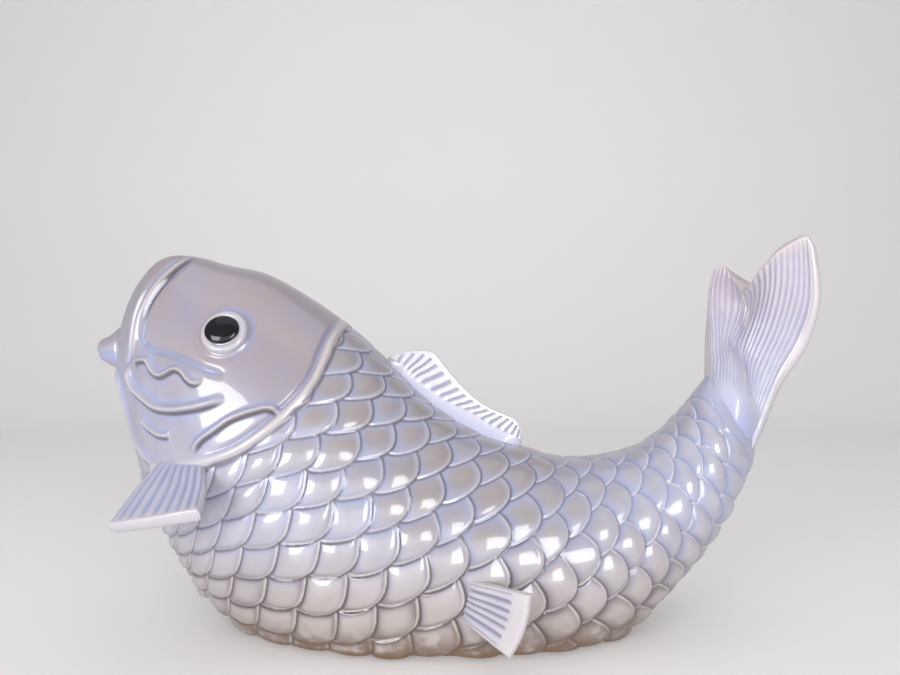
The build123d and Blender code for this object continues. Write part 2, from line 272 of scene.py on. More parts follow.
# %% Unevenness from scale to scale
uneven = 0.055  # how far a scale lies off its place, as a share of a scale
scatter_factors = (12.9898, 78.233, 37.719)
scatter_gain = 4375.85


def scatter(ring, course, draw):
    """A number between -1 and 1 that belongs to one scale. Each draw gives another one."""
    factors = scatter_factors
    mixed = np.sin(ring * factors[0] + course * factors[1] + draw * factors[2]) * scatter_gain
    return 2 * (mixed - np.floor(mixed)) - 1


print("three draws for one scale:", [round(float(scatter(1.0, 2.0, draw)), 2) for draw in (1, 2, 3)])

# %% [markdown]
# A point can be reached by several scales, so the nearest ones in both directions are all asked.
# Each answers with three numbers: how far out from its middle the point lies, its rank in the
# overlap, and how much of its dome rises there.

# %% Scales around a point
neighbours = range(-1, 3)  # rings and courses whose scales can reach a point


def scales_near(rings, courses, turn):
    """Outness, rank and dome of each near scale, stacked. A scale ends where its outness is 1."""
    centre = mix(scale_centre, turn)
    reach = mix(scale_reach, turn)
    squareness = mix(scale_squareness, turn)
    slope = mix(side_slope, turn)
    layers = []
    for ring_step in neighbours:
        ring = np.floor(rings) + ring_step
        stagger = np.mod(ring, 2) / 2  # every other ring is shifted by half a scale
        for course_step in neighbours:
            course = np.floor(courses - stagger) + stagger + course_step
            x = rings - ring + uneven * scatter(ring, course, 1)
            y = courses - course + uneven * scatter(ring, course, 2)
            side = (1 - turn / 2) * x - turn * y
            tip = x / 2 + y
            from_side = np.abs(side + centre) / reach
            from_tip = np.abs(tip + centre) / reach
            out = (from_side**squareness + from_tip**squareness) ** (1 / squareness)
            rank = 0.5 + slope * side + (1 - slope) * tip
            dome = np.maximum(1 - dome_fall * side**2, 0) * np.maximum(1 - dome_fall * tip**2, 0)
            layers.append((out, rank, dome * (1 + dome_variety * scatter(ring, course, 3))))
    return [np.stack(part) for part in zip(*layers)]


print("scales asked at each point:", len(neighbours) ** 2)

# %% [markdown]
# The scales are then laid one over another, from the lowest rank to the highest, as a roofer lays
# tiles from the eaves up. The same sums say where glaze gathers: it thins to a cream rim on a free
# edge and pools just outside it. They also place a dark line of painted shade in the corner of the step.

# %% Relief of the scales
scale_pitch = 20.0  # typical distance between neighbouring scales
edge_softness = 0.05  # half the width of the step at a free edge, as a share of a scale
rank_softness = 0.15  # how much higher in rank a scale lies before its pool and line show in full
lowest_rank = -1.0  # stands for no scale at all
rim_inset = 0.7  # the cream rim, in millimetres inside a free edge
rim_width = 0.6
shade_line_outset = 0.5  # the dark line of painted shade, in millimetres outside it
shade_line_width = 0.75


def scale_relief(rings, courses, places, depths):
    """Height of the scales, and their traces: the glaze's rim and pool, a line of painted shade and the
    crown.
    """
    turn = scale_turn(places, depths)
    cushion = scale_cushion(places, depths)
    out, rank, dome = scales_near(rings, courses, turn)
    inside = (1 - out) * mix(scale_reach, turn) * scale_pitch
    height = mix(scale_lift, turn) * rank + mix(scale_dome, cushion) * dome
    height += lip_rise * (1 - cushion) * ridge(inside - lip_inset, lip_width)
    height -= edge_rounding * cushion * ridge(np.maximum(inside, 0), edge_rounding_width)
    rim = ridge(inside - rim_inset, rim_width)
    top_rank = np.where(out < 1, rank, lowest_rank).max(0)
    over_it = np.clip((rank - top_rank) / rank_softness, 0, 1) * (out > 1)
    pool = (over_it * ridge(inside, mix(pool_width, turn))).max(0)
    # a dark line of painted shade just outside a free edge, in the corner of the step
    line = (over_it * ridge(inside + shade_line_outset, shade_line_width)).max(0)
    cover = soft_step(1 + edge_softness - out, 0, 2 * edge_softness)
    shown = np.zeros((3,) + rings.shape)  # height, rim and crown of the scale that lies on top
    for layer in np.argsort(rank, axis=0):
        picked = [np.take_along_axis(part, layer[None], 0)[0] for part in (cover, height, rim, dome)]
        shown += picked[0] * (np.stack(picked[1:]) - shown)
    return shown[0], shown[1], pool, line, shown[2]


print("lift of a scale at turn 0 and at turn 1:", scale_lift)

# %% [markdown]
# ## The carved head
# The head has no scales. Its gill cover stands a little over them and ends in a rolled rim, a bead
# between two grooves runs over the snout, and soft ridges curl round the mouth and the cheek. They
# could be sculpted with a brush, but then their heights and widths couldn't be set one by one. Here
# each is a line drawn on the side view, and a point of the skin is raised by its distance from the
# line, which gives the melted look that a carved mould has under thick glaze.

# %% Edge of the gill cover
gill_edge = [
    (-42, 240), (-55, 185), (-59.5, 165), (-62, 157), (-63, 151), (-65, 144), (-67.5, 137),
    (-72, 130), (-77.5, 123.5), (-83.5, 117), (-94, 108.5), (-106, 101.5), (-119, 97), (-135, 93.5),
    (-152, 91),
]
before_the_head = [(-166, 88), (-260, 70), (-260, 240)]  # corners that close the edge to a loop
gill_step = 2.0  # how far the head stands out
print("gill cover ends at", gill_edge[-1], "in the side view")

# %% [markdown]
# Each fold of the face has its own line of points, so that one fold can be moved without the others.

# %% Lines of the head
# Each line: its points, its height (grooves go down), its width, and how much lavender pools by it
head_lines = {
    "snout groove": (
        [(-150, 209), (-158, 198), (-166, 185), (-170, 173), (-171, 160), (-171, 152), (-173, 145)],
        -1.3, 1.4, 0.7),
    "snout bead": (
        [(-147, 208), (-153, 199), (-161, 185), (-166, 172), (-168, 160), (-169, 150)],
        1.2, 2.3, 0.0),
    "brow groove": (
        [(-144, 207), (-149, 198), (-156, 188), (-161, 178), (-163, 168), (-163, 160), (-160, 155)],
        -1.6, 1.7, 1.0),
    "jaw bead": (
        [(-187, 146), (-182, 138), (-177.5, 127), (-171.5, 113), (-163.5, 102.5), (-152, 94)],
        1.7, 1.8, 0.6),
    "upper lip": (
        [(-168, 143), (-165, 148), (-160, 149), (-157, 148), (-153, 143), (-148, 141), (-141, 144),
         (-136, 143), (-132, 139), (-128, 137), (-124, 139)],
        2.2, 1.5, 0.7),
    "lower lip": (
        [(-171, 148), (-170, 140), (-166, 134), (-158, 129), (-150, 125), (-140, 124), (-130, 125),
         (-121, 127), (-112, 130)],
        2.6, 2.2, 0.8),
    "cheek line": (
        [(-164, 159), (-155, 154), (-146, 152), (-136, 149), (-124, 144), (-113, 141)],
        -1.7, 2.0, 1.0),
    "chin fold": (
        [(-161, 119), (-156, 115), (-150, 112), (-146, 111), (-141, 111)],
        1.9, 1.7, 0.8),
    "gill crescent": (
        [(-129, 102), (-124, 109), (-117, 114), (-110, 119), (-103, 122), (-96, 124), (-91, 125),
         (-87, 124), (-84, 121)],
        2.3, 1.7, 0.8),
    "gill groove": (
        [(-62, 178), (-66, 164), (-69, 153), (-71, 144), (-74, 137), (-79, 130), (-86, 123),
         (-97, 114), (-108, 107), (-122, 102)],
        -1.5, 1.4, 0.8),
}
print("head lines:", ", ".join(head_lines))

# %% [markdown]
# How far is a point of the skin from a line? A curve has no quick answer, but a straight span has, so
# each line becomes many short spans and the nearest one counts. How far along the line that is lets
# its ends fade, and how far under it lets a painted shadow show on the lower side only.


# %% Distance to a line
def smooth_line(points, per_span=8):
    """A dense smooth line through a few points."""
    points = np.array(points, float)
    steps = np.linspace(0, len(points) - 1, (len(points) - 1) * per_span + 1)
    return between(points, steps)


def line_distance(x, z, line):
    """Distance to a line in the side view, how far along it that is, and how far under it."""
    nearest = np.full(x.shape, np.inf)
    along = np.zeros(x.shape)
    under = np.zeros(x.shape)
    for number, (start, end) in enumerate(zip(line[:-1], line[1:])):
        span = end - start
        share = np.clip(((x - start[0]) * span[0] + (z - start[1]) * span[1]) / (span @ span), 0, 1)
        gap = np.hypot(x - start[0] - share * span[0], z - start[1] - share * span[1])
        closer = gap < nearest
        nearest = np.where(closer, gap, nearest)
        along = np.where(closer, (number + share) / (len(line) - 1), along)
        under = np.where(closer, start[1] + share * span[1] - z, under)
    return nearest, along, under


def inside_loop(x, z, loop):
    """Whether points of the side view lie inside a closed loop."""
    inside = np.zeros(x.shape, bool)
    for start, end in zip(loop, np.roll(loop, -1, axis=0)):
        crosses = (start[1] > z) != (end[1] > z)
        rise = np.where(end[1] == start[1], 1.0, end[1] - start[1])
        inside ^= crosses & (x < start[0] + (z - start[1]) / rise * (end[0] - start[0]))
    return inside


print("points on the jaw bead:", len(smooth_line(head_lines["jaw bead"][0])))

# %% [markdown]
# A line starts and ends softly, and it fades where the skin turns to the front, because there the
# side view is stretched over the form and would tear the line into steps. A raised line carries
# cream glaze on its crest, a lavender pool beside it and a painted shadow in its lower corner. A
# groove fills with lavender.

# %% Carve the lines
line_gain = 1.1
line_slimness = 0.85
line_start = (0, 0.12)
line_end = (0.86, 1)
front_facing = (0.72, 0.96)  # how far to the front the skin faces where the lines fade
brow_heights = (150, 175)  # above these the lines run on over the front
crest_glaze = 0.8
crest_width = 0.5  # this and the next four are in widths of the line
pool_outset = 1.9
beside_pool_width = 1.1
groove_pool_width = 1.2
corner_outset = 1.25
# strength of the painted shadow under a raised line
corner_shadow_strength = 1.6
corner_width = 0.9
corner_depths = (0, 1.5)  # the painted shadow shows only on the lower side of a line


def carve_lines(x, z, facing):
    """Height over the cheek, the traces of glaze and the painted shadow, from all the lines of the head."""
    height, rim, pool, line = np.zeros((4,) + x.shape)
    turned_front = soft_step(-facing[..., 0], *front_facing) * (1 - soft_step(z, *brow_heights))
    for points, rise, full_width, lavender in head_lines.values():
        width = full_width * line_slimness
        gap, along, under = line_distance(x, z, smooth_line(points))
        taper = soft_step(along, *line_start) * (1 - soft_step(along, *line_end)) * (1 - turned_front)
        height += rise * line_gain * ridge(gap, width) * taper
        if rise > 0:
            crest = crest_glaze * ridge(gap, width * crest_width)
            beside = lavender * ridge(gap - width * pool_outset, width * beside_pool_width)
            # painted shadow in the lower corner of a raised line
            corner = corner_shadow_strength * ridge(gap - width * corner_outset, corner_width)
            rim = np.maximum(rim, crest * taper)
            pool = np.maximum(pool, beside * taper)
            line = np.maximum(line, corner * soft_step(under, *corner_depths) * taper)
        else:
            pool = np.maximum(pool, lavender * ridge(gap, width * groove_pool_width) * taper)
    return height, rim, pool, np.minimum(line, 1)


print("highest line of the head:", round(max(row[1] for row in head_lines.values()) * line_gain, 2), "mm")

# %% [markdown]
# The eye sits in a shallow moat, and the lips part in a crease. Both could be drawn as lines too, but
# the moat is a circle in space and the crease runs level, so they are sunk more simply, by the
# distance from the eye's middle and from the mouth's height.

# %% Sink the eye and the mouth
eye_centre = (-116.3, -44.4, 162.7)
moat_radius = 14.2
moat_depth = 0.9
moat_width = 1.5
moat_pool_radius = 14.0
moat_glaze = 0.9
moat_slant = 0.5  # the pool lies behind a slanted line through the eye
moat_pool_start = (-6, 8)
mouth_height = 152.6
mouth_depth = 1.6
mouth_width = 1.3
mouth_front = (190, 193)
mouth_pool_height = 151.0
mouth_pool_width = 3.0
mouth_pool_front = (187, 191)


def head_relief(bare_skin, facing):
    """Height of the whole head, and its traces: rim and pool of the glaze, and a line of painted shadow.
    rim, pool and line.
    """
    x, z = bare_skin[..., 0], bare_skin[..., 2]
    height, rim, pool, line = carve_lines(x, z, facing)
    height += gill_step
    eye_gap = np.linalg.norm(bare_skin - np.array(eye_centre), axis=-1)
    height -= moat_depth * ridge(eye_gap - moat_radius, moat_width)
    behind_eye = soft_step(x - eye_centre[0] + moat_slant * (z - eye_centre[2]), *moat_pool_start)
    pool = np.maximum(pool, moat_glaze * ridge(eye_gap - moat_pool_radius, moat_width) * behind_eye)
    height -= mouth_depth * ridge(z - mouth_height, mouth_width) * soft_step(-x, *mouth_front)
    in_mouth = ridge(z - mouth_pool_height, mouth_pool_width) * soft_step(-x, *mouth_pool_front)
    return height, rim, np.maximum(pool, in_mouth), line


print("moat round the eye:", 2 * moat_radius, "mm across")

# %% [markdown] ## The glazed skin The net runs along the body in rows and round it in columns. It
# could be a subdivided cage, but the steps between scales need points much closer together than a
# cage would give. So the rows are evenly spaced along the middle of the flank, and the columns lie
# close together on all that shows and wide apart under the foot.

# %% Spacing of the skin net
lengths_of_skin = 3  # pieces that each flank is made in, from the head to the tail
rows_in_a_length = 287
row_count = lengths_of_skin * rows_in_a_length
flank_columns = 335
foot_columns = 10
foot_height = 1.3  # thickness of the felt sheet under the foot
measuring_steps = 4000
measuring_angles = 721
most_of_girth = 0.95  # the shown columns end here at the latest, where the body is clear of the foot


def run_lengths(points):
    """Running length along the last row of points of each line."""
    steps = np.linalg.norm(np.diff(points, axis=-2), axis=-1)
    start = np.zeros(steps.shape[:-1] + (1,))
    return np.concatenate([start, np.cumsum(steps, axis=-1)], -1)


def skin_net():
    """Places along the body, depths down the flank and angles for every point of one flank."""
    fine = np.linspace(first_place, last_place, measuring_steps)
    middle = run_lengths(on_body(fine, np.full(fine.shape, np.pi / 2)))
    places = np.interp(np.linspace(0, middle[-1], row_count), middle, fine)
    angles = np.linspace(0, np.pi, measuring_angles)
    hoops = on_body(np.repeat(places[:, None], len(angles), 1), np.repeat(angles[None], row_count, 0))
    girths = run_lengths(hoops)
    whole = girths[:, -1]
    under = hoops[..., 2] < foot_height
    meets = np.where(under.any(1), girths[np.arange(row_count), under.argmax(1)], whole)
    meets = np.minimum(meets, whole * most_of_girth)
    shown = np.linspace(0, 1, flank_columns)[None] * meets[:, None]
    hidden = np.linspace(0, 1, foot_columns + 1)[None, 1:] * (whole - meets)[:, None] + meets[:, None]
    depths = np.concatenate([shown, hidden], 1)
    turned = np.stack([np.interp(depth, girth, angles) for depth, girth in zip(depths, girths)])
    return np.repeat(places[:, None], depths.shape[1], 1), depths, turned


places, depths, turned = skin_net()
print("net of", depths.shape, "points, down to", round(float(depths.max())), "mm from the back")

# %% [markdown]
# Relief is raised along the normals, which point straight out of the skin. A slip-cast figure has its
# mould seam along the middle, and so has this one: each flank is its own piece. The normals could be
# left to Blender, which works them out for each mesh alone, but then the seam would show. So they are
# worked out here as if the other flank went on beyond it.

# %% Bare skin and its normals
shortest_normal = 1e-9  # keeps a normal of no length from being divided by nothing


def net_normals(net):
    """Outward normals of a flank, with the other flank mirrored on to both of its edges."""
    mirror = np.array([1, -1, 1])
    wide = np.concatenate([net[:, 1:2] * mirror, net, net[:, -2:-1] * mirror], 1)
    along = np.gradient(wide, axis=0)
    down = np.gradient(wide, axis=1)
    normals = np.cross(down, along)[:, 1:-1]
    length = np.linalg.norm(normals, axis=-1, keepdims=True)
    return normals / np.maximum(length, shortest_normal)


bare = on_body(places, turned)
outward = net_normals(bare)
print("bare skin reaches", bare.min((0, 1)).round(1), "to", bare.max((0, 1)).round(1))

# %% [markdown]
# The head begins at the edge of the gill cover. The distance from that edge is taken as positive on
# the head and negative on the scales, so one number gives the step, the rolled rim just inside it and
# the dark line of painted shade just outside it.

# %% Part the head from the scales
edge_points = 6  # points on each span of the edge
gill_step_width = (-0.6, 0.8)  # distances from the edge between which the step rises
gill_bead = 0.9  # height of the rolled rim
gill_bead_inset = 2.6
gill_bead_width = 2.2
gill_rim_glaze = 0.9  # strength of the cream glaze on it
gill_rim_width = 1.8
gill_shade_outset = 0.6
gill_shade_width = 0.9

edge = smooth_line(gill_edge, edge_points)
edge_gap, *_ = line_distance(bare[..., 0], bare[..., 2], edge)
head_loop = np.concatenate([edge, np.array(before_the_head, float)])
edge_gap = np.where(inside_loop(bare[..., 0], bare[..., 2], head_loop), edge_gap, -edge_gap)
is_head = soft_step(edge_gap, *gill_step_width)
# a dark line of painted shade at the foot of the step
gill_step_shade = ridge(edge_gap + gill_shade_outset, gill_shade_width)
carved, carved_rim, carved_pool, carved_shade_line = head_relief(bare, outward)
carved += gill_bead * ridge(edge_gap - gill_bead_inset, gill_bead_width)
gill_rim = gill_rim_glaze * ridge(edge_gap - gill_bead_inset, gill_rim_width)
carved_rim = np.maximum(carved_rim, gill_rim)
print("the head takes", round(100 * float(is_head.mean())), "% of the net")

# %% [markdown]
# The scales run out just before the root of the tail, where the skin dips under the tail's root. Along
# the back both flanks meet, and there the relief is held down so that no scale ends in a spike. At
# the foot it is held flat, because the real foot was cut level before firing.

# %% Raise the relief
last_scales = (18.5, 19.4)  # where along the body the scales run out
tail_dip = 2.0  # how far the skin dips under the root of the tail
tail_dip_places = (19.0, 20.0)
back_relief = 0.3  # share of the relief that is left on the ridge of the back
back_depths = (0, 40)
foot_rise = 2.0  # height over the foot at which the relief is full

rings, courses = lattice(places, depths)
scale_height, scale_rim, scale_pool, scale_shade_line, scale_crown = scale_relief(rings, courses, places, depths)
fade = 1 - soft_step(places, *last_scales)
scale_height = scale_height * fade - tail_dip * soft_step(places, *tail_dip_places)
height = mix((scale_height, carved), is_head)
height *= mix((back_relief, 1), soft_step(depths, *back_depths))
standing = soft_step(bare[..., 2], foot_height, foot_height + foot_rise)
skin = bare + outward * (height * standing)[..., None]
skin[:, [0, -1], 1] = 0
skin[..., 2] = np.maximum(skin[..., 2], foot_height)
skin_normals = net_normals(skin)
rounding_error = 1e-6
skin_normals[skin[..., 2] <= foot_height + rounding_error] = (0, 0, -1)
print("relief up to", round(float(height.max()), 2), "mm")

# %% [markdown]
# ## Traces for the glaze
# Glaze follows the relief: it runs off edges and gathers in corners. A finish could guess at that
# from the curvature of the mesh, but the sums above know it exactly. So each point of the net keeps a
# few numbers between 0 and 1, and the finish reads them as attributes of the mesh. The line trace is
# painted shade in the corners of the steps, and the milk and sheen trace is mostly a painted sheen.

# %% Traces on the skin
rear_places = (12, 17)
rear_line_loss = 0.7  # the dark lines of painted shade are weaker near the tail
line_depths = (3, 16)  # and they begin a little below the ridge of the back
sheen_facing = (-0.1, 0.4)  # a milky sheen is painted where the skin faces level or downwards, mirroring the lamps in front
rear_thickness = 0.75  # and a milky tone near the tail, whichever way it faces
stain_start = 1.0  # the brown stain of the bare clay fades from this height over the foot
foot_taper = 22.0  # up to this one

is_scaled = 1 - is_head
rear = soft_step(places, *rear_places)
scale_shade_line *= fade * (1 - rear_line_loss * rear) * soft_step(depths, *line_depths)
stain_heights = (foot_height + stain_start, foot_height + foot_taper)
traces = {
    "rim": scale_rim * fade * is_scaled + carved_rim * is_head,
    "pool": np.maximum(scale_pool * fade * is_scaled, carved_pool * is_head),
    # the line trace is painted shade: dark lines in the corners of the steps and under the head's ridges
    "line": np.maximum(scale_shade_line, gill_step_shade) * is_scaled + carved_shade_line * is_head,
    "head": is_head,
    "crown": scale_crown * fade * is_scaled,
    # painted sheen where the skin faces level or downwards, and a milky tone near the tail
    "thick": np.maximum(1 - soft_step(outward[..., 2], *sheen_facing), rear_thickness * rear),
    "stain": 1 - soft_step(skin[..., 2], *stain_heights),
}
print("traces:", ", ".join(traces))

# %% [markdown]
# ## From net to pieces
# A primitive can't be extruded and bevelled into hundreds of scales that differ in shape and overlap
# in order, so these pieces are built from their points. Each piece is closed by a strip along the
# middle of the body and by a cap at each end. Then it is fixed to the body, and the CAD node that it
# stands for is hidden.


# %% Faces of a net and pieces of a mesh
def net_faces(rows, columns):
    """Quads of a net, a strip that closes its two long edges, and a cap at each end."""
    number = np.arange(rows * columns).reshape(rows, columns)
    corners = [number[:-1, :-1], number[:-1, 1:], number[1:, 1:], number[1:, :-1]]
    quads = np.stack(corners, -1).reshape(-1, 4)
    strip = np.stack([number[:-1, 0], number[1:, 0], number[1:, -1], number[:-1, -1]], -1)
    caps = [list(number[0][::-1]), list(number[-1])]
    return [list(face) for face in np.concatenate([quads, strip])] + caps


def keep_piece(piece, replaced):
    """Fixes a piece to the body and hides the CAD node that it stands for."""
    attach(piece, "root")
    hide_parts(replaced)
    print(piece.name, "with", len(piece.data.polygons), "faces for", replaced)


def new_piece(name, points, faces, replaced, values, normals=None):
    """A smooth mesh from points in millimetres, with its traces of glaze."""
    mesh = bpy.data.meshes.new(name)
    mesh.from_pydata((points * mm).tolist(), [], faces)
    mesh.update()
    mesh.polygons.foreach_set("use_smooth", np.ones(len(mesh.polygons), bool))
    for trace, numbers in values.items():
        layer = mesh.attributes.new(trace, "FLOAT", "POINT")
        layer.data.foreach_set("value", np.ascontiguousarray(numbers, dtype=np.float32).ravel())
    if normals is not None:
        mesh.normals_split_custom_set_from_vertices(normals.tolist())
    piece = bpy.data.objects.new(name, mesh)
    bpy.context.scene.collection.objects.link(piece)
    keep_piece(piece, replaced)
    return piece


print("faces of a net of 3 by 3 points:", len(net_faces(3, 3)))

# %% [markdown]
# One piece for the whole skin would be too heavy to edit or to export with all its detail, so each
# flank is cut into a head, a middle and a rear. The lengths share a row of points, and their normals
# agree there, so no joint shows. The right flank is the mirror image of the left one.


# %% Make the skin
def make_skin_length(name, start, end, side):
    """One length of a flank: side is 1 for the modelled left one and -1 for its mirror image."""
    mirror = np.array([1, side, 1])
    part = slice(start, end)
    faces = net_faces(end - start, skin.shape[1])
    if side < 0:
        faces = [face[::-1] for face in faces]
    values = {trace: numbers[part] for trace, numbers in traces.items()}
    points = (skin[part] * mirror).reshape(-1, 3)
    normals = (skin_normals[part] * mirror).reshape(-1, 3)
    new_piece(name, points, faces, "body_casting", values, normals)


skin_names = []
for count, length_name in enumerate(("head", "middle", "rear")):
    start = count * rows_in_a_length
    end = min(start + rows_in_a_length + 1, row_count)
    for side_name, side in (("left", 1), ("right", -1)):
        skin_names.append(f"skin_{length_name}_{side_name}")
        make_skin_length(skin_names[-1], start, end, side)
print("pieces of skin:", len(skin_names))

# %% [markdown]
# ## Fins and tail
# A fin is pressed from a slab of clay that starts thick in the body and ends in a rounded rim, with a
# fan of grooves in both faces. It could be a flat plate with slots cut in it, but then the grooves
# would stay straight and the plate stiff. Here guide lines run from the root to the rim, the fin's
# middle is one smooth surface through them, and each face lies half a thickness away. So the grooves
# flow with the guides, and the sheet can bend and twist.

# %% Middle of a fin
columns_per_rib = 10
fewest_columns = 60
rim_crowding = 1.25  # the rows lie closer together towards the rim
side_crowding = 0.35  # and the columns towards both side edges


def fin_spacing(ribs, fine_rows):
    """Shares along a fin from root to rim, and across it from its first guide to its last."""
    coarser = 1
    row_number = fine_rows // coarser
    column_number = max(ribs * columns_per_rib, fewest_columns) // coarser
    along = 1 - (1 - np.linspace(0, 1, row_number)) ** rim_crowding
    even = np.linspace(0, 1, column_number)
    crowded = (1 - np.cos(np.linspace(0, np.pi, column_number))) / 2
    return along, side_crowding * crowded + (1 - side_crowding) * even


def fin_middle(guides, along, across):
    """Points of the smooth surface through the guides, and its normals, in rows and columns."""
    table = np.array(guides, float)
    spread = between(table, across * (len(table) - 1))
    steps = along * (table.shape[1] - 1)
    middle = np.stack([between(line, steps) for line in spread], 1)
    facing = np.cross(np.gradient(middle, axis=0), np.gradient(middle, axis=1))
    facing /= np.maximum(np.linalg.norm(facing, axis=-1, keepdims=True), shortest_normal)
    return middle, facing


print("columns of a fin with 20 ribs:", len(fin_spacing(20, 90)[1]))

# %% [markdown]
# The edges are rounded off as clay is with a wet sponge. A plain band runs round the rim, and the
# grooves start beyond the root and stop at that band. A cosine wave across the fin gives the ribs,
# and a power of it makes the grooves as narrow as the tool that pressed them.

# %% Profile of a fin
tip_share = 0.35  # share of the rim's width over which the tip is rounded
root_blend = 0.12  # share of the length over which a round root turns into a flat sheet
side_band_fade = (0.7, 1.3)  # a side band fades between these, counted in its own widths
rim_band_fade = (1.5, 0.7)  # and the band along the rim between these
rib_fade_in = 0.08  # share of the length over which the grooves deepen
rib_fade_out = 0.03  # and over which they run out


def quarter_round(share):
    """Profile of a rounded edge: 1 up to share 0, and nothing at share 1."""
    return np.sqrt(np.maximum(1 - np.maximum(share, 0) ** 2, 0))


def fin_rounding(along, across, rib_start, rim_share, flat_share, round_until):
    """How the thickness falls off to the side edges and to the tip."""
    flat_places = [round_until, rib_start + round_until + root_blend, 1]
    flat = np.interp(along, flat_places, [1.0, flat_share, flat_share])[:, None]
    side = np.abs(2 * across - 1)[None]
    tip_length = rim_share * tip_share
    tip = quarter_round((along - (1 - tip_length)) / tip_length)[:, None]
    return quarter_round((side - (1 - flat)) / flat) * tip


def fin_bands(along, across, rim_share, side_rims):
    """The plain bands along the two side edges, and these with the band along the rim."""
    first, last = side_rims or (rim_share / 2, rim_share / 2)
    near, far = side_band_fade
    first_band = 1 - soft_step(across, first * near, first * far)
    last_band = soft_step(across, 1 - last * far, 1 - last * near)
    side_band = np.maximum(first_band, last_band)[None]
    rim_start, rim_full = (1 - rim_share * fade_share for fade_share in rim_band_fade)
    return side_band, np.maximum(soft_step(along, rim_start, rim_full)[:, None], side_band)


def rib_zone(along, side_band, rib_start, rib_end):
    """1 where the fin is ribbed and 0 at the root and on the bands."""
    begun = soft_step(along, rib_start, rib_start + rib_fade_in)
    going_on = 1 - soft_step(along, rib_end - rib_fade_out, rib_end)
    return (begun * going_on)[:, None] * (1 - side_band)


print("a quarter round half way:", round(float(quarter_round(0.5)), 3))

# %% [markdown]
# Glaze breaks cream over the rim and on the ribs and pools in the grooves and at the root. A thin
# dark line of painted shade lies at the bottom of a groove, and painted white light and a painted pink
# reflection are laid on by shares. As on the skin, the same sums that shape the fin also write these
# traces.

# %% Traces on a fin
rim_band_glaze = 0.8  # strength of the cream on the rim
rib_crest_glaze = 0.4  # and on the ribs
rib_crest_sharpness = 3
groove_pool = 0.9  # strength of the lavender in a groove
root_pool_length = 0.1  # how far the pool at the root runs on between the ribs
groove_line_width = 1 / 3
pink_reflection_shares = (0.35, 0.9)  # where along the fin the painted pink reflection begins and is full
pink_reflection_across = (1.0, 0.4)  # its strength at the first guide and at the last


def fin_traces(along, across, wave, ribbed, groove, rim_band, rib_start, groove_shade, warm, bright, pooling):
    """The traces of glaze, painted shade and painted light on one face of a fin."""
    crest = (1 - wave) ** rib_crest_sharpness * ribbed * rib_crest_glaze
    root_pool = (1 - soft_step(along, 0, rib_start + root_pool_length))[:, None]
    return {
        "rim": np.maximum(rim_band * rim_band_glaze, crest),
        "pool": pooling + groove * groove_pool + root_pool,
        "line": ridge(wave - 1, groove_line_width) * ribbed * groove_shade,
        "warm": warm * soft_step(along, *pink_reflection_shares)[:, None] * mix(pink_reflection_across, across)[None],
        "bright": bright * np.ones_like(groove),
    }


print("share of cream glaze on a rib's crest:", rib_crest_glaze)

# %% [markdown]
# The near face and the far face of a fin are joined to one tube of points with a cap at each end. A
# Solidify modifier could thicken a single sheet, but it makes square edges, and these run out to
# nothing at the rim. So the points that meet there are merged by an operator in edit mode, and the
# faces are turned outwards.


# %% From both faces to a piece
merge_distance = 0.02


def both_faces(numbers):
    """Values of the near face, followed by the same values back along the far face."""
    return np.concatenate([numbers, numbers[:, ::-1]], 1)


def tube_faces(rows, columns):
    """Quads round a tube of points, and a cap at each end."""
    number = np.arange(rows * columns).reshape(rows, columns)
    looped = np.roll(number, -1, axis=1)
    quads = np.stack([number[:-1], number[1:], looped[1:], looped[:-1]], -1).reshape(-1, 4)
    caps = [number[0].tolist(), number[-1].tolist()[::-1]]
    return quads.tolist() + caps


def select_only(piece):
    """Selects one piece and nothing else, because an operator acts on all that is selected."""
    bpy.ops.object.select_all(action="DESELECT")
    piece.select_set(True)
    bpy.context.view_layer.objects.active = piece


def close_edges(piece):
    """Merges the points where both faces meet, and turns all faces outwards."""
    select_only(piece)
    bpy.ops.object.mode_set(mode="EDIT")
    bpy.ops.mesh.select_all(action="SELECT")
    bpy.ops.mesh.remove_doubles(threshold=merge_distance * mm)
    bpy.ops.mesh.normals_make_consistent(inside=False)
    bpy.ops.object.mode_set(mode="OBJECT")


print("faces of a tube of 3 by 4 points:", len(tube_faces(3, 4)))

# %% [markdown]
# All six sheets are made in one way and differ only in their guides and measures: where the grooves
# start and end, how deep and how narrow they are, how wide the rim is, how much of each colour the
# glaze leaves, and how much painted shade, white light and pink reflection lie on them. The usual
# values stand in the first lines of the function, and each fin names only what is its own.


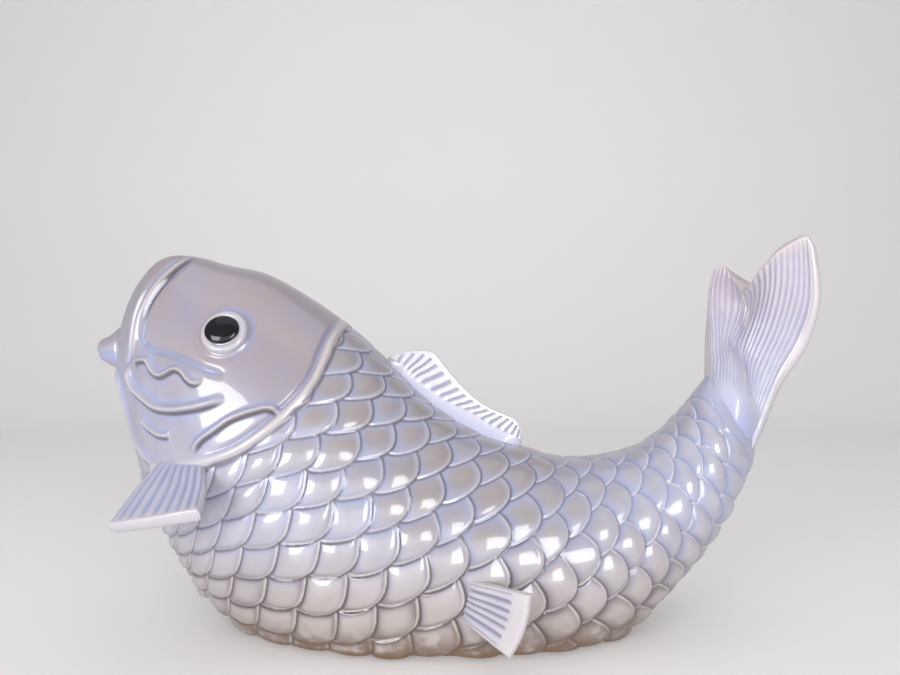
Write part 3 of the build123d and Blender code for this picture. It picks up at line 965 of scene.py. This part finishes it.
# %% Make a fin
def make_fin(name, guides, thickness, ribs, replaced, rib_end, rim_share, rib_start=0.3, rib_depth=0.9,
             groove_sharpness=4.0, flat_share=0.12, side_rims=None, rim_gain=0.0, round_until=0.0,
             groove_shade=0.45, warm=0.0, bright=0.0, pooling=0.0, fine_rows=90, mirrored=False):
    """A ribbed sheet. Its thickness is given at the guides' points, its starts and ends as shares."""
    along, across = fin_spacing(ribs, fine_rows)
    middle, facing = fin_middle(guides, along, across)
    side_band, rim_band = fin_bands(along, across, rim_share, side_rims)
    ribbed = rib_zone(along, side_band, rib_start, rib_end)
    wave = (0.5 - 0.5 * np.cos(2 * np.pi * ribs * across))[None]
    groove = wave**groove_sharpness * ribbed
    steps = along * (len(thickness) - 1)
    half_thickness = between(np.array(thickness, float), steps)[:, None] / 2
    swell = half_thickness * (1 + rim_gain * rim_band) - rib_depth * groove
    swell = swell * fin_rounding(along, across, rib_start, rim_share, flat_share, round_until)
    near = middle + facing * swell[..., None]
    far = middle - facing * swell[..., None]
    points = np.concatenate([near, far[:, ::-1]], 1)
    faces = tube_faces(*points.shape[:2])
    if mirrored:
        points = points * np.array([1, -1, 1])
        faces = [face[::-1] for face in faces]
    marks = fin_traces(along, across, wave, ribbed, groove, rim_band, rib_start, groove_shade, warm, bright, pooling)
    values = {trace: both_faces(np.clip(numbers, 0, 1)) for trace, numbers in marks.items()}
    close_edges(new_piece(name, points.reshape(-1, 3), faces, replaced, values))


fin_names = ["tail", "back_fin", "breast_fin_left", "breast_fin_right", "belly_fin_left", "belly_fin_right"]
print("fins to make:", len(fin_names))

# %% [markdown]
# ## Tail
# The tail is luted to the raised end of the body. Its two lobes twist apart: the front one swings to
# the carp's right and the rear one to its left, with a low notch between them. A flat fan could be
# twisted with a modifier, but that turns both lobes by one rule. Nine guides, each free to lean its
# own way, give the notch and both turns. The root is nearly as thick as the body there, so it grows
# out of the skin.

# %% Make the tail
tail_guides = [
    [(148, 0, 126), (150, 0, 142), (153.5, 9, 158), (157, 18, 176), (160, 23, 192), (164, 26, 204)],
    [(151, 0, 122), (153.5, 0, 140), (158.5, 10, 157), (164, 16, 173), (167, 20, 190), (171, 24, 206)],
    [(154.5, 0, 118), (158, 0, 138), (165, 10, 156), (173, 13, 171), (177, 13, 184), (176, 13, 196.5)],
    [(157, 0, 115), (162, 0, 135), (170, 7, 153), (177, 8, 166), (180, 6, 180), (177.5, 4, 191.5)],
    [(159, 0, 112), (166, 0, 132), (174.5, 3, 151), (180.5, 0, 169), (182, -5, 186), (178.5, -9, 201.5)],
    [(162, 0, 109), (169, 0, 129), (178, 0, 149), (184, -5, 168), (186, -11, 189), (183.5, -16, 210.5)],
    [(165, 0, 105), (173.5, 0, 125), (183.5, -3, 146), (190.5, -9, 167), (193.5, -15, 190),
     (191.5, -19, 216)],
    [(168, 0, 101), (178.5, 0, 120), (188, -4, 141), (197, -11, 162), (201, -17, 185), (197.5, -21, 218)],
    [(172, 0, 96), (183, 0, 114), (191.5, -5, 136), (202, -12, 158), (206, -19, 184), (202, -22, 211)],
]
tail_thickness = [41, 28, 14.5, 9.5, 8, 6.5]
make_fin("tail", tail_guides, tail_thickness, 24, "tail_fin", rib_start=0.13, rib_end=0.985,
         rib_depth=0.8, groove_sharpness=1.2, rim_share=0.06, side_rims=(0.02, 0.12), rim_gain=0.25,
         flat_share=0.2, round_until=0.22, groove_shade=0.1, warm=0.9, bright=0.15, fine_rows=150)

# %% [markdown]
# ## Back fin
# The back fin stands upright along the ridge of the back, higher in front, with a smooth rim above
# its fanned ribs. It could be an extruded outline, but its ribs have to fan from a long curved foot.
# Each guide starts inside the body, so the fin is rooted in it and not only placed on it.

# %% Make the back fin
back_fin_guides = [
    [(-40, 0, 140), (-36, 0, 149), (-36, 0, 150), (-35, 0, 151)],
    [(-36, 0, 132), (-29, 0, 145), (-26, 0, 150), (-23, 0, 154)],
    [(-31, 0, 126), (-24.5, 0, 140.5), (-17, 0, 147), (-10, 0, 153.5)],
    [(-26, 0, 122), (-19.6, 0, 136), (-11, 0, 141), (-2.5, 0, 145)],
    [(-16, 0, 114), (-9.2, 0, 128), (-2, 0, 132), (5.5, 0, 135.5)],
    [(-6, 0, 108), (0, 0, 122.3), (7, 0, 125.5), (13.5, 0, 127.5)],
    [(5, 0, 102), (10.4, 0, 117.7), (16, 0, 120), (21.5, 0, 121.8)],
    [(15, 0, 98), (19.6, 0, 112), (25, 0, 116), (30, 0, 118)],
    [(26, 0, 94), (28.8, 0, 107.3), (33, 0, 112), (36.5, 0, 115)],
    [(35, 0, 92), (36.8, 0, 103.9), (38.5, 0, 108), (39.8, 0, 111)],
    [(40, 0, 90), (41, 0, 100), (41.5, 0, 102), (41.8, 0, 104)],
]
back_fin_thickness = [26, 11.5, 8.5, 6.5]
make_fin("back_fin", back_fin_guides, back_fin_thickness, 20, "dorsal_fin", rib_start=0.36, rib_end=0.86,
         rim_share=0.12, flat_share=0.08, bright=0.9)

# %% [markdown]
# ## Breast and belly fins
# Two small fans stand out from the breast and two more from the belly, low down, where they make the
# round body look steady. They droop outwards and end in a rounded rim. Each pair could be one object
# with a Mirror modifier, but the real ones are luted on one by one, so each fin is its own mesh, and
# the right one has the mirrored points of the left one.

# %% Make the breast fins and the belly fins
breast_fin_guides = [
    [(-146, -36, 97), (-151, -46, 91), (-154, -62, 82), (-156.5, -80, 71)],
    [(-141, -36, 98), (-144, -50, 93), (-146, -66, 84), (-147.5, -84, 73)],
    [(-134, -36, 99), (-136, -52, 94), (-134, -68, 86), (-133.5, -87, 75.5)],
    [(-127, -36, 100), (-128, -54, 95), (-124, -70, 87), (-121, -89, 78)],
    [(-122, -36, 100), (-122, -54, 95), (-116, -71, 88), (-112, -89, 79.5)],
]
belly_fin_guides = [
    [(8, -48, 41), (12, -62, 42), (22, -71, 42.5), (37.5, -81, 42)],
    [(7, -48, 34), (11, -62, 35), (21, -71, 34.5), (36, -81.5, 32)],
    [(6, -48, 28), (9.5, -61, 29), (19, -70, 26.5), (33, -80.5, 22)],
    [(5, -48, 22), (8, -60, 22), (16, -69, 18), (28, -79, 12)],
]
breast_fin_thickness = [9, 7, 6.5, 6.5]
belly_fin_thickness = [7, 5.5, 5, 5.2]
for side_name, mirrored in (("left", False), ("right", True)):
    make_fin("breast_fin_" + side_name, breast_fin_guides, breast_fin_thickness, 9,
             "pectoral_fin_" + side_name, rib_end=0.95, rib_depth=0.8, groove_sharpness=2.5,
             rim_share=0.08, groove_shade=0.25, pooling=0.5, mirrored=mirrored)
    make_fin("belly_fin_" + side_name, belly_fin_guides, belly_fin_thickness, 7,
             "pelvic_fin_" + side_name, rib_end=0.84, rib_depth=1.1, rim_share=0.16, mirrored=mirrored)

# %% [markdown]
# ## Eyes
# The eye is a shallow pale dome in a rolled ring, with a thick drop of black glaze as its pupil. A
# sphere and a torus are close to these forms already, so they are added at their place in the head,
# turned to face outwards, and flattened. The ring covers the rim of the dome, which is how the
# potter's roll of clay hides the joint. All of it could be one lathed profile, but the pupil lies a
# little off the middle.


# %% Parts of an eye
round_segments = 64
round_rings = 32
ring_segments = 96
ring_tube_segments = 20
eye_direction = (-0.03, -0.91, 0.41)
eye_radius = 12.0
dome_flattening = (0.92, 0.92, 0.40)
dome_sink = 1.0
ring_radius = 9.8
ring_tube_radius = 2.4
ring_stand = 1.2
pupil_radii = (9.0, 8.0, 2.4)
pupil_stand = 2.7
pupil_shift = Vector((-1.0, 0, 0.8))  # a little forwards and upwards


def flattened_ball(radius, flattening, place, turn):
    """A sphere at a place in millimetres, turned and flattened."""
    bpy.ops.object.select_all(action="DESELECT")
    bpy.ops.mesh.primitive_uv_sphere_add(segments=round_segments, ring_count=round_rings,
                                         radius=radius * mm, location=place * mm, rotation=turn)
    ball = bpy.context.object
    ball.scale = flattening
    return ball


def rolled_ring(place, turn):
    """A torus at a place in millimetres."""
    bpy.ops.object.select_all(action="DESELECT")
    bpy.ops.mesh.primitive_torus_add(major_segments=ring_segments, minor_segments=ring_tube_segments,
                                     major_radius=ring_radius * mm, minor_radius=ring_tube_radius * mm,
                                     location=place * mm, rotation=turn)
    return bpy.context.object


def settle(piece, name, replaced):
    """Moves a piece's place, turn and size into its mesh, and keeps it under its name."""
    select_only(piece)
    bpy.ops.object.transform_apply(location=True, rotation=True, scale=True)
    bpy.ops.object.shade_smooth()
    piece.name = name
    piece.data.name = name
    keep_piece(piece, replaced)


print("an eye is", 2 * (ring_radius + ring_tube_radius), "mm across")

# %% [markdown]
# Both eyes look outwards and somewhat upwards. The right one could be a mirrored copy, but a mirror
# turns a mesh inside out, so its place and direction are mirrored instead and it is made afresh.

# %% Set both eyes
for side_name, side in (("left", 1), ("right", -1)):
    direction = Vector((eye_direction[0], side * eye_direction[1], eye_direction[2])).normalized()
    centre = Vector((eye_centre[0], side * eye_centre[1], eye_centre[2]))
    turn = direction.to_track_quat("Z", "Y").to_euler()
    eye_dome = flattened_ball(eye_radius, dome_flattening, centre - direction * dome_sink, turn)
    settle(eye_dome, "eye_dome_" + side_name, "eyeball_" + side_name)
    eye_ring = rolled_ring(centre + direction * ring_stand, turn)
    settle(eye_ring, "eye_ring_" + side_name, "eyeball_" + side_name)
    pupil = flattened_ball(1, pupil_radii, centre + direction * pupil_stand + pupil_shift, turn)
    settle(pupil, "pupil_dome_" + side_name, "pupil_" + side_name)

# %% [markdown]
# ## Words for finishes
# A finish is a small graph of nodes, and shader maths is easier to read as ordinary sums. So a small
# class wraps a socket that carries a number, and its operators add the Math nodes. A second class
# holds the material and has one word for each thing that a glaze needs.


# %% Sums in a shader
class Amount:
    """A number that changes over a surface. Its operators add Math nodes."""

    def __init__(self, finish, socket):
        self.finish = finish
        self.socket = socket

    def maths(self, operation, first, second):
        """One Math node over two amounts or plain numbers."""
        return self.finish.make("ShaderNodeMath", {"operation": operation}, {0: first, 1: second})

    def __add__(self, other):
        return self.maths("ADD", self, other)

    __radd__ = __add__

    def __sub__(self, other):
        return self.maths("SUBTRACT", self, other)

    def __rsub__(self, other):
        return self.maths("SUBTRACT", other, self)

    def __mul__(self, other):
        return self.maths("MULTIPLY", self, other)

    __rmul__ = __mul__


print("sums:", ", ".join(word for word in vars(Amount) if word.strip("_") in ("add", "sub", "mul")))

# %% [markdown]
# Nodes could be added and linked one by one, but that hides a glaze behind its wiring. With a word
# for a noise, a ramp or a layer, the finish reads in the order in which the glaze was laid on.

# %% Words for a material
# A Mix node has a set of sockets for each kind of data, and these are the numbers of the colour ones
share_socket, low_socket, high_socket, mixed_socket = 0, 6, 7, 2


class Finish:
    """A material under construction."""

    def __init__(self, name):
        self.material = bpy.data.materials.new(name)
        self.material.use_nodes = True
        self.nodes = self.material.node_tree.nodes
        self.links = self.material.node_tree.links
        self.shader = self.nodes["Principled BSDF"]
        self.colour = None

    def make(self, kind, settings=None, inputs=None, output=0):
        """Adds a node: its settings come first, then the values or links of its sockets."""
        node = self.nodes.new(kind)
        for setting, value in (settings or {}).items():
            setattr(node, setting, value)
        for socket, value in (inputs or {}).items():
            self.feed(node.inputs[socket], value)
        return Amount(self, node.outputs[output])

    def feed(self, socket, value):
        """Links a socket to an amount, or sets it to a plain value."""
        if isinstance(value, Amount):
            self.links.new(value.socket, socket)
        else:
            socket.default_value = value

    def use(self, socket, value):
        """Feeds a socket of the shader itself."""
        self.feed(self.shader.inputs[socket], value)

    def trace(self, name):
        """A trace that the piece's points carry."""
        return self.make("ShaderNodeAttribute", {"attribute_name": name}, output="Fac")

    def place(self):
        """Place on the object, which moves and turns with it."""
        return self.make("ShaderNodeTexCoord", output="Object")

    def height(self):
        """Height over the floor in metres."""
        return self.make("ShaderNodeSeparateXYZ", inputs={0: self.place()}, output="Z")

    def noise(self, size, detail):
        """Soft random patches of about this size in millimetres."""
        sockets = {"Vector": self.place(), "Scale": 1 / (size * mm), "Detail": float(detail)}
        return self.make("ShaderNodeTexNoise", inputs=sockets, output="Fac")

    def ramp(self, value, start, end):
        """0 below the start and 1 above the end."""
        sockets = {"Value": value, "From Min": start, "From Max": end}
        return self.make("ShaderNodeMapRange", {"interpolation_type": "SMOOTHSTEP"}, sockets, "Result")

    def colours(self, share, low, high):
        """The low colour at share 0, the high one at share 1."""
        sockets = {share_socket: share, low_socket: low, high_socket: high}
        settings = {"data_type": "RGBA", "clamp_factor": True}
        return self.make("ShaderNodeMix", settings, sockets, mixed_socket)

    def lay(self, share, colour):
        """Lays a colour over what is there, by a share."""
        self.colour = self.colours(share, self.colour, colour)

    def bump(self, height, strength, distance):
        """Fine unevenness, too small for the mesh, with its height in millimetres."""
        sockets = {"Height": height, "Strength": strength, "Distance": distance * mm}
        self.use("Normal", self.make("ShaderNodeBump", inputs=sockets, output="Normal"))


print("words:", ", ".join(word for word in vars(Finish) if not word.startswith("_")))

# %% [markdown]
# ## Colours of the glaze
# One glaze makes most of these colours. Thin over an edge it breaks cream, thick in a hollow it
# turns lavender, and where iron from the clay comes through it burns brown. They could be picked
# from a colour chart, but a glaze is known by how it breaks, so these are named for what the glaze
# does there. The rest are painted light: a dark shade for corners and grooves, a milky sheen and a
# pearly highlight where the lamps are mirrored, white where the fins face the lamps, a warm
# reflection on the head and a pink one on the tail.

# %% Mix the colours
grey_glaze = (0.33, 0.29, 0.28, 1)
# the head's grey, with part of a painted warm reflection in it
head_grey_warm_reflected = (0.345, 0.295, 0.305, 1)
fin_grey = (0.54, 0.51, 0.56, 1)
lit_white = (0.68, 0.67, 0.75, 1)
lavender_grey = (0.36, 0.37, 0.48, 1)
lavender_glaze = (0.28, 0.305, 0.47, 1)
pale_lavender = (0.38, 0.42, 0.66, 1)
milky_sheen = (0.48, 0.49, 0.60, 1)
pearl_highlight = (0.57, 0.54, 0.58, 1)
cream_glaze = (0.66, 0.60, 0.57, 1)
pink_reflection = (0.66, 0.50, 0.50, 1)
warm_glaze = (0.44, 0.375, 0.32, 1)
brown_pool = (0.13, 0.085, 0.055, 1)
bare_clay = (0.17, 0.10, 0.055, 1)
# painted shade for the corners of the steps and the bottoms of the grooves
painted_shade = (0.075, 0.055, 0.05, 1)


def glaze(name):
    """A glossy glaze: a coloured body under a clear coat."""
    finish = Finish(name)
    finish.use("Roughness", 0.32)
    finish.use("IOR", 1.5)
    finish.use("Coat Weight", 1.0)
    finish.use("Coat Roughness", 0.035)
    return finish


print("cream over lavender:", cream_glaze[:3], lavender_glaze[:3])

# %% [markdown]
# ## Skin glaze
# A clear coat over a coloured body gives the look of fired glass: soft colour below and a sharp
# window in it above. The ground comes first. A scale is greyer on its crown than round it, the head
# is grey with part of a warm reflection painted in, lavender drifts over both in patches, and where
# the skin faces level or downwards a milky sheen is painted, the reflection of the lamps in front,
# with a painted pearly highlight on each crown. Near the tail the skin is milky whichever way it
# faces. It could be painted by hand, but the traces on the net put every colour exactly where the
# relief asks for it.

# %% Ground of the skin glaze
# A strength is the share of a layer's colour where its mask is 1
drift_strength = 0.35
milky_sheen_strength = 0.75
pearl_highlight_strength = 0.5
thick_least = 0.55  # share of the painted sheen and milky tone that its cloudiness never takes away

skin_glaze = glaze("skin glaze")
on_head = skin_glaze.trace("head")
crown = skin_glaze.trace("crown")
mottle = skin_glaze.noise(size=26, detail=3)
cloud = skin_glaze.ramp(skin_glaze.noise(size=16, detail=3), start=0.35, end=0.65)
thick = skin_glaze.trace("thick") * (thick_least + (1 - thick_least) * cloud)
grey_share = skin_glaze.ramp(crown, start=0.05, end=0.75)
skin_glaze.colour = skin_glaze.colours(grey_share, lavender_grey, grey_glaze)
skin_glaze.lay(on_head, head_grey_warm_reflected)
skin_glaze.lay(skin_glaze.ramp(mottle, start=0.45, end=0.75) * drift_strength, lavender_glaze)
# painted sheen: the milky reflection of the lamps where the skin faces level or downwards
skin_glaze.lay(thick * milky_sheen_strength, milky_sheen)
# painted highlight: a pearly sheen on the crowns of the scales that face the lamps
skin_glaze.lay(skin_glaze.ramp(crown, start=0.1, end=0.7) * thick * pearl_highlight_strength, pearl_highlight)
print("nodes in the ground:", len(skin_glaze.nodes))

# %% [markdown]
# Low on the body the fire has drawn the glaze thin and warm, and between the low scales it stands
# brown. The pools and the cream rims follow the relief, and so does the painted shade in its
# corners. Each layer covers the one before it, so the painted shade comes last.

# %% Pools, rims and seams of the skin glaze
low_heights = (20 * mm, 75 * mm)  # the body counts as low up to the first and not above the second
warm_strength = 0.75
brown_least = 0.4  # a strength named least holds everywhere, and the ones after it add to it
brown_cloud = 0.55
pale_least = 0.4
pale_on_head = 0.6
brown_in_pools = 0.8
pool_least = 0.6
# strength of the painted shade in the corners: least everywhere, more low down and on the head
rim_strength = 0.75
line_shade_least = 0.7
line_shade_low = 0.3
line_shade_on_head = 0.15

low = 1 - skin_glaze.ramp(skin_glaze.height(), *low_heights)
between_scales = low - low * skin_glaze.ramp(crown, start=0.0, end=0.5)
skin_glaze.lay(low * warm_strength, warm_glaze)
skin_glaze.lay(between_scales * (brown_least + brown_cloud * cloud), brown_pool)
# the pools are paler under the painted sheen, and on the head
pale_share = thick * (pale_least + pale_on_head * on_head)
pooled = skin_glaze.colours(pale_share, lavender_glaze, pale_lavender)
pooled = skin_glaze.colours(low * brown_in_pools, pooled, brown_pool)
skin_glaze.lay(skin_glaze.trace("pool") * (pool_least + (1 - pool_least) * mottle), pooled)
skin_glaze.lay(skin_glaze.trace("rim") * rim_strength, cream_glaze)
# painted shade: dark lines in the corners of the steps, stronger low on the body and on the head
line_shade_strength = line_shade_least + line_shade_low * low + line_shade_on_head * on_head
skin_glaze.lay(skin_glaze.trace("line") * line_shade_strength, painted_shade)
print("nodes with the pools, rims and seams:", len(skin_glaze.nodes))

# %% [markdown]
# A foot is wiped clean of glaze so that it doesn't stick to the kiln shelf, and the bare clay fires
# brown. The edge of the glaze above it is ragged, so noise breaks up the stain. A few pale specks
# come last. The slight waviness of the glass could be moulded into the net, but it is so shallow that
# only reflections show it, and bump bends those without a single point.

# %% Foot and specks of the skin glaze
stain_strength = 0.9
foot_edge = ((foot_height + 1.5) * mm, (foot_height + 4) * mm)  # where the glaze begins
speck_strength = 0.25

ragged = skin_glaze.ramp(skin_glaze.noise(size=9, detail=3), start=0.3, end=0.55)
skin_glaze.lay(skin_glaze.trace("stain") * ragged * stain_strength, bare_clay)
wiped_foot = 1 - skin_glaze.ramp(skin_glaze.height(), *foot_edge)
skin_glaze.lay(wiped_foot * stain_strength, bare_clay)
specks = skin_glaze.ramp(skin_glaze.noise(size=3.5, detail=4), start=0.68, end=0.8)
skin_glaze.lay(specks * speck_strength, cream_glaze)
skin_glaze.use("Base Color", skin_glaze.colour)
skin_glaze.bump(skin_glaze.noise(size=7, detail=3), strength=0.12, distance=0.6)


def cover_with(finish, *names):
    """Puts a finish, and nothing else, on the named pieces."""
    for name in names:
        piece = bpy.data.objects[name]
        piece.data.materials.clear()
        piece.data.materials.append(finish.material)
    print(finish.material.name, "on", len(names), "pieces")


cover_with(skin_glaze, *skin_names)

# %% [markdown]
# ## Fin glaze
# On the thin fins the glaze is paler than on the body, blue in the grooves and cream on the rims.
# White is painted where the back fin, and a little of the tail, face the lamps, and a pink reflection
# is painted towards the end of the tail. Each could have a finish of its own, but one serves all six,
# because the traces say how lit or pink each of them is.

# %% Make the fin glaze
patch_strength = 0.5
fin_pool_strength = 0.7
fin_rim_strength = 0.8
pink_reflection_strength = 0.5
pink_reflection_off_rims = 0.5  # share of the blush that a cream rim takes away

fin_glaze = glaze("fin glaze")
fin_rim = fin_glaze.trace("rim")
fin_patches = fin_glaze.ramp(fin_glaze.noise(size=18, detail=3), start=0.35, end=0.7)
fin_glaze.colour = fin_glaze.colours(fin_patches * patch_strength, fin_grey, lavender_grey)
# painted light: white where the back fin, and a little of the tail, face the lamps
fin_glaze.lay(fin_glaze.trace("bright"), lit_white)
fin_glaze.lay(fin_glaze.trace("pool") * fin_pool_strength, pale_lavender)
fin_glaze.lay(fin_rim * fin_rim_strength, cream_glaze)
# painted reflection of a pink wall towards the end of the tail, less on the cream rims
fin_glaze.lay(fin_glaze.trace("warm") * (1 - fin_rim * pink_reflection_off_rims) * pink_reflection_strength, pink_reflection)
# painted shade: a thin dark line at the bottom of each groove
fin_glaze.lay(fin_glaze.trace("line"), painted_shade)
fin_glaze.use("Base Color", fin_glaze.colour)
fin_glaze.bump(fin_glaze.noise(size=6, detail=3), strength=0.1, distance=0.5)
cover_with(fin_glaze, *fin_names)

# %% [markdown]
# ## Eye glaze and black glaze
# The eyes are pale and a little cloudy. The pupil is a drop of black glass, so smooth that it mirrors
# the lamps. Black could be a single flat colour, but a trace of variation keeps it from looking like
# a hole. Its coat is faint, because on black every reflection shows.

# %% Make the eye glaze and the black glaze
eye_cream = (0.50, 0.465, 0.475, 1)
eye_cloud = (0.40, 0.41, 0.52, 1)
eye_cloud_strength = 0.5
eye_glaze = glaze("eye glaze")
eye_patches = eye_glaze.ramp(eye_glaze.noise(size=5, detail=3), start=0.4, end=0.7)
eye_glaze.use("Base Color", eye_glaze.colours(eye_patches * eye_cloud_strength, eye_cream, eye_cloud))
eye_glaze.bump(eye_glaze.noise(size=4, detail=2), strength=0.05, distance=0.3)
cover_with(eye_glaze, "eye_dome_left", "eye_ring_left", "eye_dome_right", "eye_ring_right")

deep_black = (0.004, 0.004, 0.005, 1)
soft_black = (0.012, 0.01, 0.012, 1)
black_glaze = glaze("black glaze")
black_cloud = black_glaze.noise(size=4, detail=2)
black_glaze.use("Base Color", black_glaze.colours(black_cloud, deep_black, soft_black))
black_glaze.use("Roughness", 0.1)
black_glaze.use("Coat Weight", 0.15)
black_glaze.use("IOR", 1.4)
cover_with(black_glaze, "pupil_dome_left", "pupil_dome_right")

# %% [markdown]
# ## Felt
# A pale felt sheet is glued under the foot, and only its edge shows. Its fibres could be hair, but at
# 1.3 mm thick nobody would see them. So the CAD sheet stays as it is, and fine noise drives both its
# colour and its bump.

# %% Make the felt
shaded_felt = (0.60, 0.57, 0.52, 1)
pale_felt = (0.80, 0.78, 0.74, 1)
felt = Finish("felt")
fibres = felt.noise(size=0.8, detail=6)
felt.use("Base Color", felt.colours(fibres, shaded_felt, pale_felt))
felt.use("Roughness", 0.95)
felt.bump(fibres, strength=0.4, distance=0.3)
cover_with(felt, "foot_pad")

# %% [markdown]
# ## Floor and wall
# The carp stands on a plain pale sheet that sweeps up behind it, as in a photographer's studio, so
# that no line crosses the picture. A floor and a wall could be two planes, but their corner would
# show. So one plane is added, its far edge is pulled up to a wall, and the corner is bevelled round.

# %% Make the floor
floor_half_width = 4.0
wall_distance = 1.6
wall_height = 3.0
sweep_radius = 0.7
sweep_segments = 24
near_enough = 0.01


def select_edges(piece, wanted):
    """Selects the edges whose two end points are wanted, and goes into edit mode."""
    bpy.ops.object.mode_set(mode="EDIT")
    bpy.ops.mesh.select_mode(type="EDGE")
    bpy.ops.mesh.select_all(action="DESELECT")
    bpy.ops.object.mode_set(mode="OBJECT")
    points = piece.data.vertices
    for line in piece.data.edges:
        line.select = all(wanted(points[end].co) for end in line.vertices)
    bpy.ops.object.mode_set(mode="EDIT")


def at_the_wall(point):
    """Whether a point lies on the far edge of the floor, or above it."""
    return point.y > wall_distance - near_enough


def in_the_corner(point):
    """Whether a point lies on the far edge of the floor itself."""
    return at_the_wall(point) and point.z < near_enough


bpy.ops.object.select_all(action="DESELECT")
floor_centre = (0, wall_distance - floor_half_width, 0)
bpy.ops.mesh.primitive_plane_add(size=2 * floor_half_width, location=floor_centre)
floor = bpy.context.object
floor.name = "floor"
bpy.ops.object.transform_apply(location=True)
select_edges(floor, at_the_wall)
bpy.ops.mesh.extrude_region_move(TRANSFORM_OT_translate={"value": (0, 0, wall_height)})
select_edges(floor, in_the_corner)
bpy.ops.mesh.bevel(offset=sweep_radius, segments=sweep_segments)
bpy.ops.object.mode_set(mode="OBJECT")
bpy.ops.object.shade_smooth()
print("floor with", len(floor.data.polygons), "faces")

# %% [markdown]
# The paint is slightly uneven, as real paint is. To make the floor look paler, one could turn up the
# lamps, but they would bleach the carp as well. Instead it glows a little for the camera alone, which
# the light path tells the shader, and no light from it reaches the glaze.

# %% Paint the floor
floor_shade = (0.80, 0.78, 0.76, 1)
floor_pale = (0.83, 0.81, 0.79, 1)
floor_glow = (1.0, 0.98, 0.96, 1)
glow_strength = 0.16
floor_paint = Finish("floor paint")
brushing = floor_paint.noise(size=120, detail=4)
floor_paint.use("Base Color", floor_paint.colours(brushing, floor_shade, floor_pale))
floor_paint.use("Roughness", 0.6)
floor_paint.use("Emission Color", floor_glow)
camera_ray = floor_paint.make("ShaderNodeLightPath", output="Is Camera Ray")
floor_paint.use("Emission Strength", camera_ray * glow_strength)
cover_with(floor_paint, "floor")

# %% [markdown]
# ## Light
# Glaze is judged by what it mirrors. Two small square lamps in front leave the window-like highlights
# on the flank and the head, a wide panel behind the camera fills the shadows with cool daylight, and
# a warm ceiling lights the back. A sun would give hard shadows and a point lamp a speck for a
# highlight, so all four are area lamps.


# %% Hang the lamps
def hang_lamp(name, place, target, size, power, colour):
    """A rectangular area lamp at a place in metres, turned to a target."""
    data = bpy.data.lights.new(name, "AREA")
    data.shape = "RECTANGLE"
    data.size, data.size_y = size
    data.energy = power
    data.color = colour
    lamp = bpy.data.objects.new(name, data)
    lamp.location = place
    lamp.rotation_euler = (Vector(target) - Vector(place)).to_track_quat("-Z", "Y").to_euler()
    bpy.context.scene.collection.objects.link(lamp)
    print(name, power, "W")


window_light = (0.97, 0.98, 1.0)
sky_light = (0.84, 0.88, 1.0)
warm_light = (1.0, 0.97, 0.94)
# Each lamp: its place and target in metres, its two sides in metres, its power in watts, its colour
hang_lamp("window_left", (-0.85, -1.2, 0.40), (-0.05, 0, 0.10), (0.60, 0.60), 9, window_light)
hang_lamp("window_right", (0.55, -1.3, 0.42), (0.05, 0, 0.08), (0.55, 0.60), 8, window_light)
hang_lamp("sky_panel", (-0.1, -1.9, 0.25), (0, 0, 0.08), (3.2, 1.1), 16, sky_light)
hang_lamp("ceiling", (0.0, -0.1, 2.0), (0, 0, 0), (2.4, 2.0), 8, warm_light)

# %% [markdown]
# Beyond the floor lies the world. It could be one grey, but then it would either look dull behind the
# carp or light it too brightly. So the camera sees a pale room, and everything else gets a dim one.

# %% Make the room
dim_room = (0.34, 0.34, 0.37, 1)
pale_room = (0.86, 0.84, 0.83, 1)
world = bpy.data.worlds.new("pale room")
bpy.context.scene.world = world
world.use_nodes = True
nodes = world.node_tree.nodes
links = world.node_tree.links
ray = nodes.new("ShaderNodeLightPath")
room = nodes.new("ShaderNodeMix")
room.data_type = "RGBA"
room.inputs[low_socket].default_value = dim_room
room.inputs[high_socket].default_value = pale_room
links.new(ray.outputs["Is Camera Ray"], room.inputs[share_socket])
links.new(room.outputs[mixed_socket], nodes["Background"].inputs["Color"])
print("room colours:", dim_room[:3], pale_room[:3])

# %% [markdown]
# ## Camera
# A camera close by with a wide lens draws the near parts of the carp large, as a telephone does when
# it is held over a table. A long lens further away would keep the proportions truer but flatten the
# form. The camera stands a little below the eye of the carp and looks very slightly upwards.

# %% Place the camera
lens = 27.04
sensor_width = 36.0
camera_place = (0, -0.394, 0.1515)
camera_tilt = 91.5  # degrees up from looking straight down
camera_data = bpy.data.cameras.new("camera")
camera_data.lens = lens
camera_data.sensor_width = sensor_width
camera = bpy.data.objects.new("camera", camera_data)
camera.location = camera_place
camera.rotation_euler = (np.radians(camera_tilt), 0, 0)
bpy.context.scene.collection.objects.link(camera)
bpy.context.scene.camera = camera
bpy.context.scene.view_settings.view_transform = "Standard"
print("camera at", camera_place, "with a lens of", lens, "mm")

# %% [markdown]
